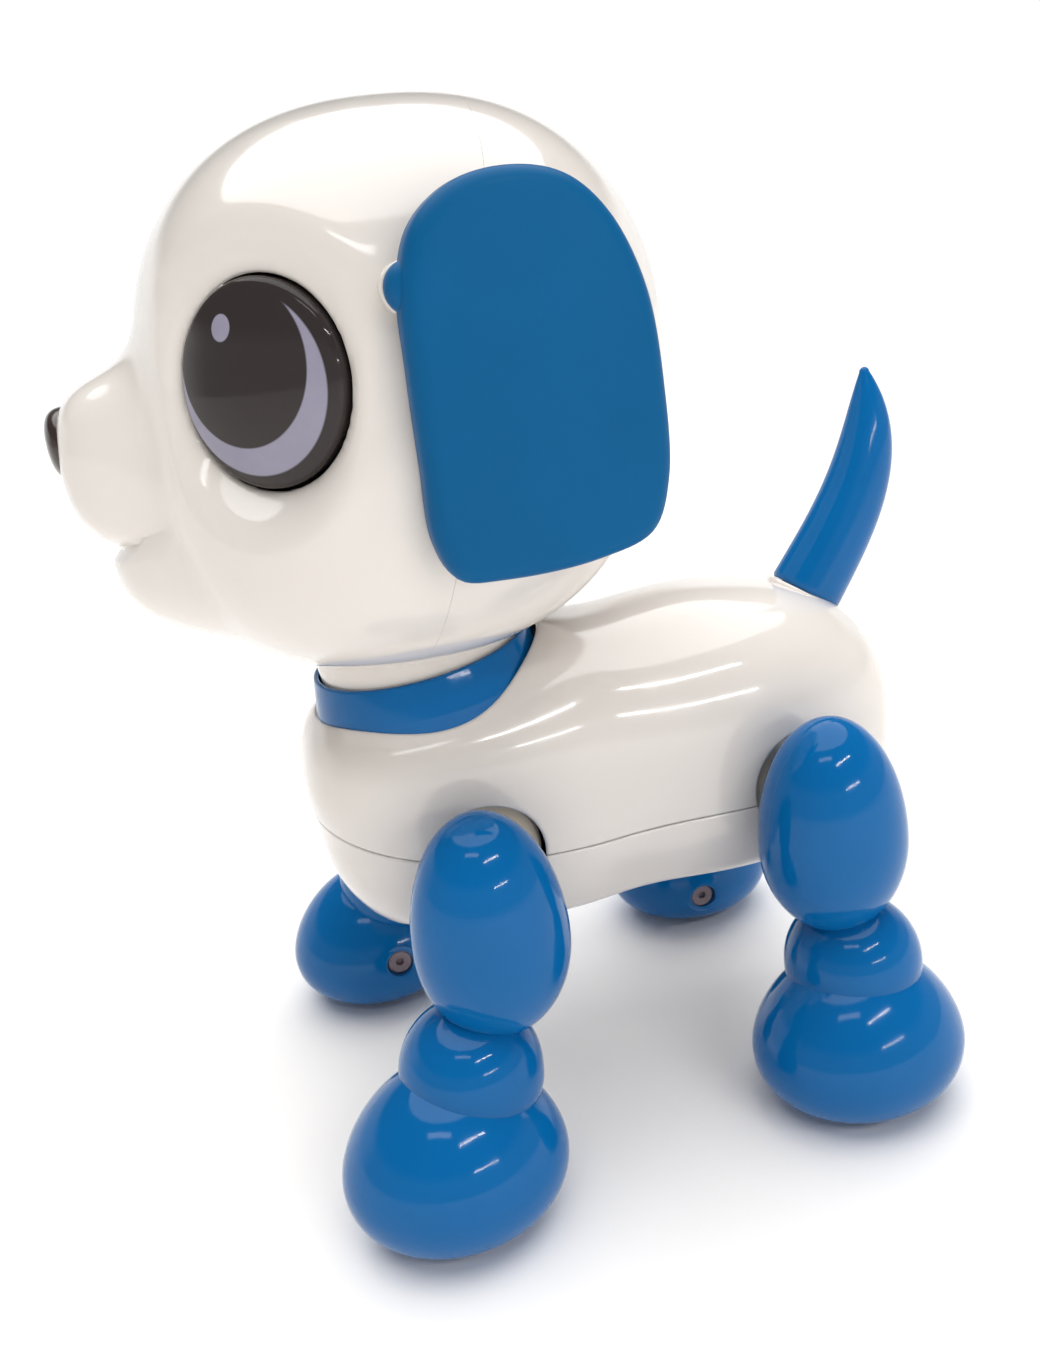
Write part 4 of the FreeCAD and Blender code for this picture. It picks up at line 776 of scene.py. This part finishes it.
# Where the ear turns, along and up, and how far out its boss starts on the head.
EAR_PIN = (-22.4, 151.5)
EAR_BOSS_X = 39
EYE_CLEARANCE = 0.15
EYE_CROWN = 3.0
SPLIT_PLACE = (-22, 108.5)


def eye_axes():
    """The left eye's sideways, upward and outward directions; its top leans to the ear."""
    out = np.array((math.cos(EYE_YAW) * math.cos(EYE_PITCH), -math.sin(EYE_YAW) * math.cos(EYE_PITCH),
                    math.sin(EYE_PITCH)))
    level = np.array((math.sin(EYE_YAW), math.cos(EYE_YAW), 0))
    upright = np.cross(out, level)
    side = level * math.cos(EYE_LEAN) - upright * math.sin(EYE_LEAN)
    up = level * math.sin(EYE_LEAN) + upright * math.cos(EYE_LEAN)
    return side, up, out


def eye_place(points):
    """How many lens widths from the eye's axis, how far up the lens, and how far out of its plane."""
    side, up, out = eye_axes()
    offset = folded(points) - EYE
    oval = np.hypot(offset @ side / (EYE_HALF_WIDTH + EYE_CLEARANCE),
                    offset @ up / (EYE_HALF_HEIGHT + EYE_CLEARANCE))
    return oval, offset @ up, offset @ out


def eye_opening(points):
    oval, _, outward = eye_place(points)
    return np.minimum((1 - oval) * EYE_HALF_WIDTH, outward + 12)


def above_socket(points):
    """Above 0 in the air before the eye socket, whose wall is steep below the eye and flat above."""
    oval, height, outward = eye_place(points)
    steepness = np.interp(height, (0, 6, 12), (14, 9, 3))
    return outward + 0.9 - steepness * np.maximum(oval - 1, 0)


def behind_split(points):
    """Above 0 on the rear half of the head; the split leans back going up."""
    along = points[..., 1] - SPLIT_PLACE[0]
    up = points[..., 2] - SPLIT_PLACE[1]
    return along * math.cos(SPLIT_TILT) - up * math.sin(SPLIT_TILT) + FINE_GAP


def before_split(points):
    return 2 * FINE_GAP - behind_split(points)


def neck_opening(points):
    height, off = along_and_off(points, NECK, NECK_AXIS)
    return np.minimum(18.75 - off, 30 - height)


def nose_shape(points):
    """Oval from the front, with a blunt face."""
    side, ahead, up = np.moveaxis((points - np.array(NOSE)) / NOSE_RADII, -1, 0)
    return (np.hypot(side, up) ** 3 + np.abs(ahead) ** 3) ** (1 / 3) - 1


def make_head():
    surface = skin(head_shape, (0, -20.5, 132), 84, (1, 1.05, 1))
    shell("head_front", surface, [behind_split, eye_opening, neck_opening], WALL, "head",
          "white_plastic", ["head_front_shell"], faint=[behind_split])
    boss_profile = rounded(((2.1, 0), (3.6, 0), (3.6, 5.6), (2.1, 5.6)), 0.4)
    boss = lathe(boss_profile, (EAR_BOSS_X,) + EAR_PIN, OUTWARDS, 48)
    shell("head_rear", surface, [before_split, neck_opening], WALL, "head", "white_plastic",
          ["head_rear_shell"], merged(boss, flipped(boss)), [before_split])
    nose = skin(nose_shape, NOSE, 20, NOSE_RADII)
    solid("nose_tip", nose, "head", "nose_black", ["nose"])


def make_eyes():
    """A domed oval lens with a rounded rim on a straight plug."""
    side, up, out = eye_axes()
    angles = np.arange(96) * 2 * math.pi / 96
    oval = np.stack([EYE_HALF_WIDTH * np.cos(angles), EYE_HALF_HEIGHT * np.sin(angles), 0 * angles], -1)
    profile = [(0.97, -6.0), (0.985, -5.8), (0.985, -0.6), (0.985, -0.2), (0.975, 0.15)]
    profile += [(radius, EYE_CROWN * (1 - radius ** 2) ** 0.8 + 0.12)
                for radius in np.linspace(0.955, 0.03, 26)]
    rings = [oval * (radius, radius, 1) + (0, 0, height) for radius, height in profile]
    points, faces = rings_mesh(rings)
    for name, sign in SIDES:
        # The left lens is built in its own axes, and the right one is its mirror image.
        lens = new_mesh("eye_lens_" + name, points * (sign, 1, 1), faces)
        mirror = np.array((sign, 1, 1))
        columns = (side * mirror * sign, up * mirror, out * mirror)
        turn = Matrix([[float(column[row]) for column in columns] for row in range(3)]).to_4x4()
        lens.matrix_world = Matrix.Translation(Vector(EYE * mirror * MM)) @ turn
        finish_piece(lens, "head", "eye_print", ["eye_" + name])


# ---------------------------------------------------------------- ears

EAR_MIDDLE = (-7.2, 138)
EAR_OUTLINE = ((0.2, 26.5), (-8.3, 25.5), (-14.4, 21), (-17, 14), (-17.5, 3), (-17.6, -9), (-17.4, -20),
               (-14.9, -25.2), (-8.4, -26.4), (5.5, -26), (14, -23.4), (17, -16.5), (17.5, -3),
               (16.1, 10), (12, 19.5), (6.8, 24.6))
EAR_INNER_X = 44.9
EAR_THICK = 6.2
EAR_ROUNDING = 2.6
EAR_CROWN = 0.35


def smooth_loop(corners, count):
    """Evenly spaced points on a closed smooth curve through the corners."""
    corners = np.array(corners, float)
    total = len(corners)
    fine = []
    for number in range(total):
        before, here, after, beyond = (corners[(number + shift) % total] for shift in (-1, 0, 1, 2))
        steps = (here - before, after - here, beyond - after)
        gaps = [np.linalg.norm(step) ** 0.5 for step in steps]
        out = ((here - before) / gaps[0] - (after - before) / (gaps[0] + gaps[1])
               + (after - here) / gaps[1]) * gaps[1]
        into = ((after - here) / gaps[1] - (beyond - here) / (gaps[1] + gaps[2])
                + (beyond - after) / gaps[2]) * gaps[1]
        for t in np.linspace(0, 1, 24, endpoint=False):
            fine.append(here * (2 * t ** 3 - 3 * t ** 2 + 1) + out * (t ** 3 - 2 * t ** 2 + t)
                        + after * (3 * t ** 2 - 2 * t ** 3) + into * (t ** 3 - t ** 2))
    fine = np.array(fine + fine[:1])
    length = np.concatenate([[0], np.cumsum(np.linalg.norm(np.diff(fine, axis=0), axis=1))])
    even = np.linspace(0, length[-1], count, endpoint=False)
    return np.stack([np.interp(even, length, fine[:, axis]) for axis in (0, 1)], -1)


def ear_surface():
    """A soft-edged pad, a little crowned outside, with a round pivot bump at its front."""
    loop = smooth_loop(EAR_OUTLINE, 144)
    ahead = np.roll(loop, -1, 0) - np.roll(loop, 1, 0)
    normal = np.stack([ahead[:, 1], -ahead[:, 0]], -1) / np.linalg.norm(ahead, axis=1)[:, None]
    if (normal * loop).sum() < 0:
        normal = -normal
    levels = [(share, 0.7, 0.0) for share in (0.02, 0.3, 0.6, 0.85, 1.0)]
    levels += [(1.0, 0.2, 0.2), (1.0, 0.0, 0.7)]
    for step in range(9):
        turn = math.radians(90 * step / 8)
        levels.append((1.0, EAR_ROUNDING * (1 - math.cos(turn)),
                       EAR_THICK - EAR_ROUNDING * (1 - math.sin(turn)) - EAR_CROWN))
    levels += [(share, EAR_ROUNDING, EAR_THICK - EAR_CROWN)
               for share in (0.97, 0.9, 0.78, 0.6, 0.4, 0.2, 0.02)]
    rings = []
    for share, inset, height in levels:
        flat = (loop - normal * inset) * share + np.array((0, -1)) * (1 - share)
        crown = EAR_CROWN * (1 - share ** 2) if height > EAR_THICK / 2 else 0
        rings.append(np.stack([np.full(len(flat), EAR_INNER_X + height + crown),
                               flat[:, 0] + EAR_MIDDLE[0], flat[:, 1] + EAR_MIDDLE[1]], -1))
    pin = (EAR_INNER_X,) + EAR_PIN
    bump_profile = rounded(((0.01, 0.1), (3.5, 0.1), (3.6, 2.2), (2.9, 3.9), (0.01, 4.5)), 0.8)
    bump = lathe(bump_profile, pin, OUTWARDS, 48)
    peg = lathe(((0.01, -7.7), (2, -7.7), (2, 1), (0.01, 1)), pin, OUTWARDS, 32)
    return merged(rings_mesh(rings), bump, peg)


def make_ears():
    left = ear_surface()
    solid("ear_flap_left", left, "left_ear", "blue_satin", ["ear_left"])
    solid("ear_flap_right", flipped(left), "right_ear", "blue_satin", ["ear_right"])


# ---------------------------------------------------------------- legs

LEG_SPLIT_X = 37
LEG_INNER_X = 26.4
# Radius and depth of a screw: a flat head with a round drive hole, and its shank.
SCREW_PROFILE = ((0.9, 0.6), (2.4, 0.45), (2.75, 0.7), (2.75, 2.0), (1.1, 2.2), (1.1, 9), (0.01, 9),
                 (0.01, 1.4), (0.9, 1.4))
# A seat is a short cup round each screw head.
SEAT_PROFILE = ((2.9, 0.2), (3.9, 0.2), (3.9, 2.4), (0.9, 2.4), (0.9, 2.2), (2.9, 2.2))
HUB_PROFILE = ((0.01, 17.4), (5, 17.4), (5, 23.2), (7.5, 23.2), (7.5, 28.5), (0.01, 28.5))
WELL_RADIUS = 2.9
WELL_END_X = 32
PAD_OPENING_RADIUS = 8.1
PAD_OPENING_TOP = 2
THIGH_RADII = (11.8, 13.2)
THIGH_ABOVE = 23
THIGH_BELOW = 17
# Each screw is given by its place along, its height and the x of its seat.
LEGS = {
    "front": {"thigh": (36, -23.1, 49), "ankle": (36.5, -30, 26.5), "foot": (39, -35.4, 11.5),
              "screws": ((-33.3, 13.4, 22.9), (-22.7, 42.5, 26.9))},
    "rear": {"thigh": (36, 39.7, 51), "ankle": (36.5, 42.3, 26.5), "foot": (39, 41.2, 11.5),
             "screws": ((38.2, 10, 23), (39.7, 43, 26.9))},
}


def thigh_shape(centre):
    """An egg, longer above its middle than below, with a flat towards the body."""
    def shape(points):
        above = egg(points, centre, THIGH_RADII + (THIGH_ABOVE,))
        below = egg(points, centre, THIGH_RADII + (THIGH_BELOW,))
        whole = np.where(points[..., 2] > centre[2], above, below)
        return within(whole, LEG_INNER_X - points[..., 0], 2)
    return shape


def domed(centre, radii, upper, lower):
    """A round form; each half has its own height and squareness, and the floor cuts it flat."""
    def shape(points):
        offset = points - np.array(centre)
        level = np.hypot(offset[..., 0] / radii[0], offset[..., 1] / radii[1])
        up = np.abs(offset[..., 2])
        halves = [(level ** power + (up / height) ** power) ** (1 / power)
                  for height, power in (upper, lower)]
        whole = (np.where(offset[..., 2] > 0, *halves) - 1) * radii[0]
        return within(whole, 0.5 - points[..., 2], 2)
    return shape


def united(name, surfaces):
    """One skin around several closed ones."""
    things = [new_mesh("%s_part_%d" % (name, number), *surface)
              for number, surface in enumerate(surfaces)]
    for other in things[1:]:
        unite = things[0].modifiers.new("unite", "BOOLEAN")
        unite.operation = "UNION"
        unite.solver = "EXACT"
        unite.object = other
    settle(things[0])
    points = np.array([vert.co for vert in things[0].data.vertices]) / MM
    faces = [tuple(face.vertices) for face in things[0].data.polygons]
    for thing in things:
        bpy.data.objects.remove(thing)
    return points, faces


def screw_well(along, up):
    def field(points):
        off = np.hypot(points[..., 1] - along, points[..., 2] - up)
        return np.minimum(WELL_RADIUS - off, WELL_END_X - np.abs(points[..., 0]))
    return field


def outer_half(points):
    return LEG_SPLIT_X - np.abs(points[..., 0]) + FINE_GAP


def inner_half(points):
    return np.abs(points[..., 0]) - LEG_SPLIT_X + FINE_GAP


def pad_opening(foot):
    def field(points):
        off = np.hypot(np.abs(points[..., 0]) - foot[0], points[..., 1] - foot[1])
        return np.minimum(PAD_OPENING_RADIUS - off, PAD_OPENING_TOP - points[..., 2])
    return field


def make_leg(end):
    spec = LEGS[end]
    thigh = skin(thigh_shape(spec["thigh"]), spec["thigh"], 30, (1, 1.1, 1.6))
    ankle = skin(domed(spec["ankle"], (12, 12.3), (12.2, 2), (9, 3)), spec["ankle"], 24)
    foot = skin(domed(spec["foot"], (17, 19.5), (19, 1.7), (12.2, 2.3)), spec["foot"], 34)
    left = united("leg_" + end, [foot, ankle, thigh])
    hub = lathe(rounded(HUB_PROFILE, 0.3, 2), (0, HIPS[end], HIP_Z), OUTWARDS, 64)
    places = [(seat, along, up) for along, up, seat in spec["screws"]]
    seats = [lathe(SEAT_PROFILE, place, OUTWARDS, 40) for place in places]
    screws = merged(*[lathe(SCREW_PROFILE, place, OUTWARDS, 40) for place in places])
    wells = [screw_well(along, up) for _, along, up in places]
    inside = merged(hub, *seats)
    sole = pad_opening(spec["foot"])
    for side, sign in SIDES:
        label = "leg_%s_%s" % (end, side)
        parts = (left, screws, inside)
        surface, heads, more = parts if sign > 0 else map(flipped, parts)
        solid(label + "_screw_heads", heads, label, "screw_grey", [label + "_screws"])
        shell(label + "_outer", surface, [outer_half, sole], LEG_WALL, label, "blue_plastic",
              [label + "_outer_shell"], faint=[outer_half])
        shell(label + "_inner", surface, [inner_half, sole] + wells, LEG_WALL, label, "blue_plastic",
              [label + "_inner_shell"], more, [inner_half])


make_camera()
make_studio()
dress_cad_nodes()
make_body()
make_collar_and_neck()
make_tail()
make_head()
make_eyes()
make_ears()
make_leg("front")
make_leg("rear")
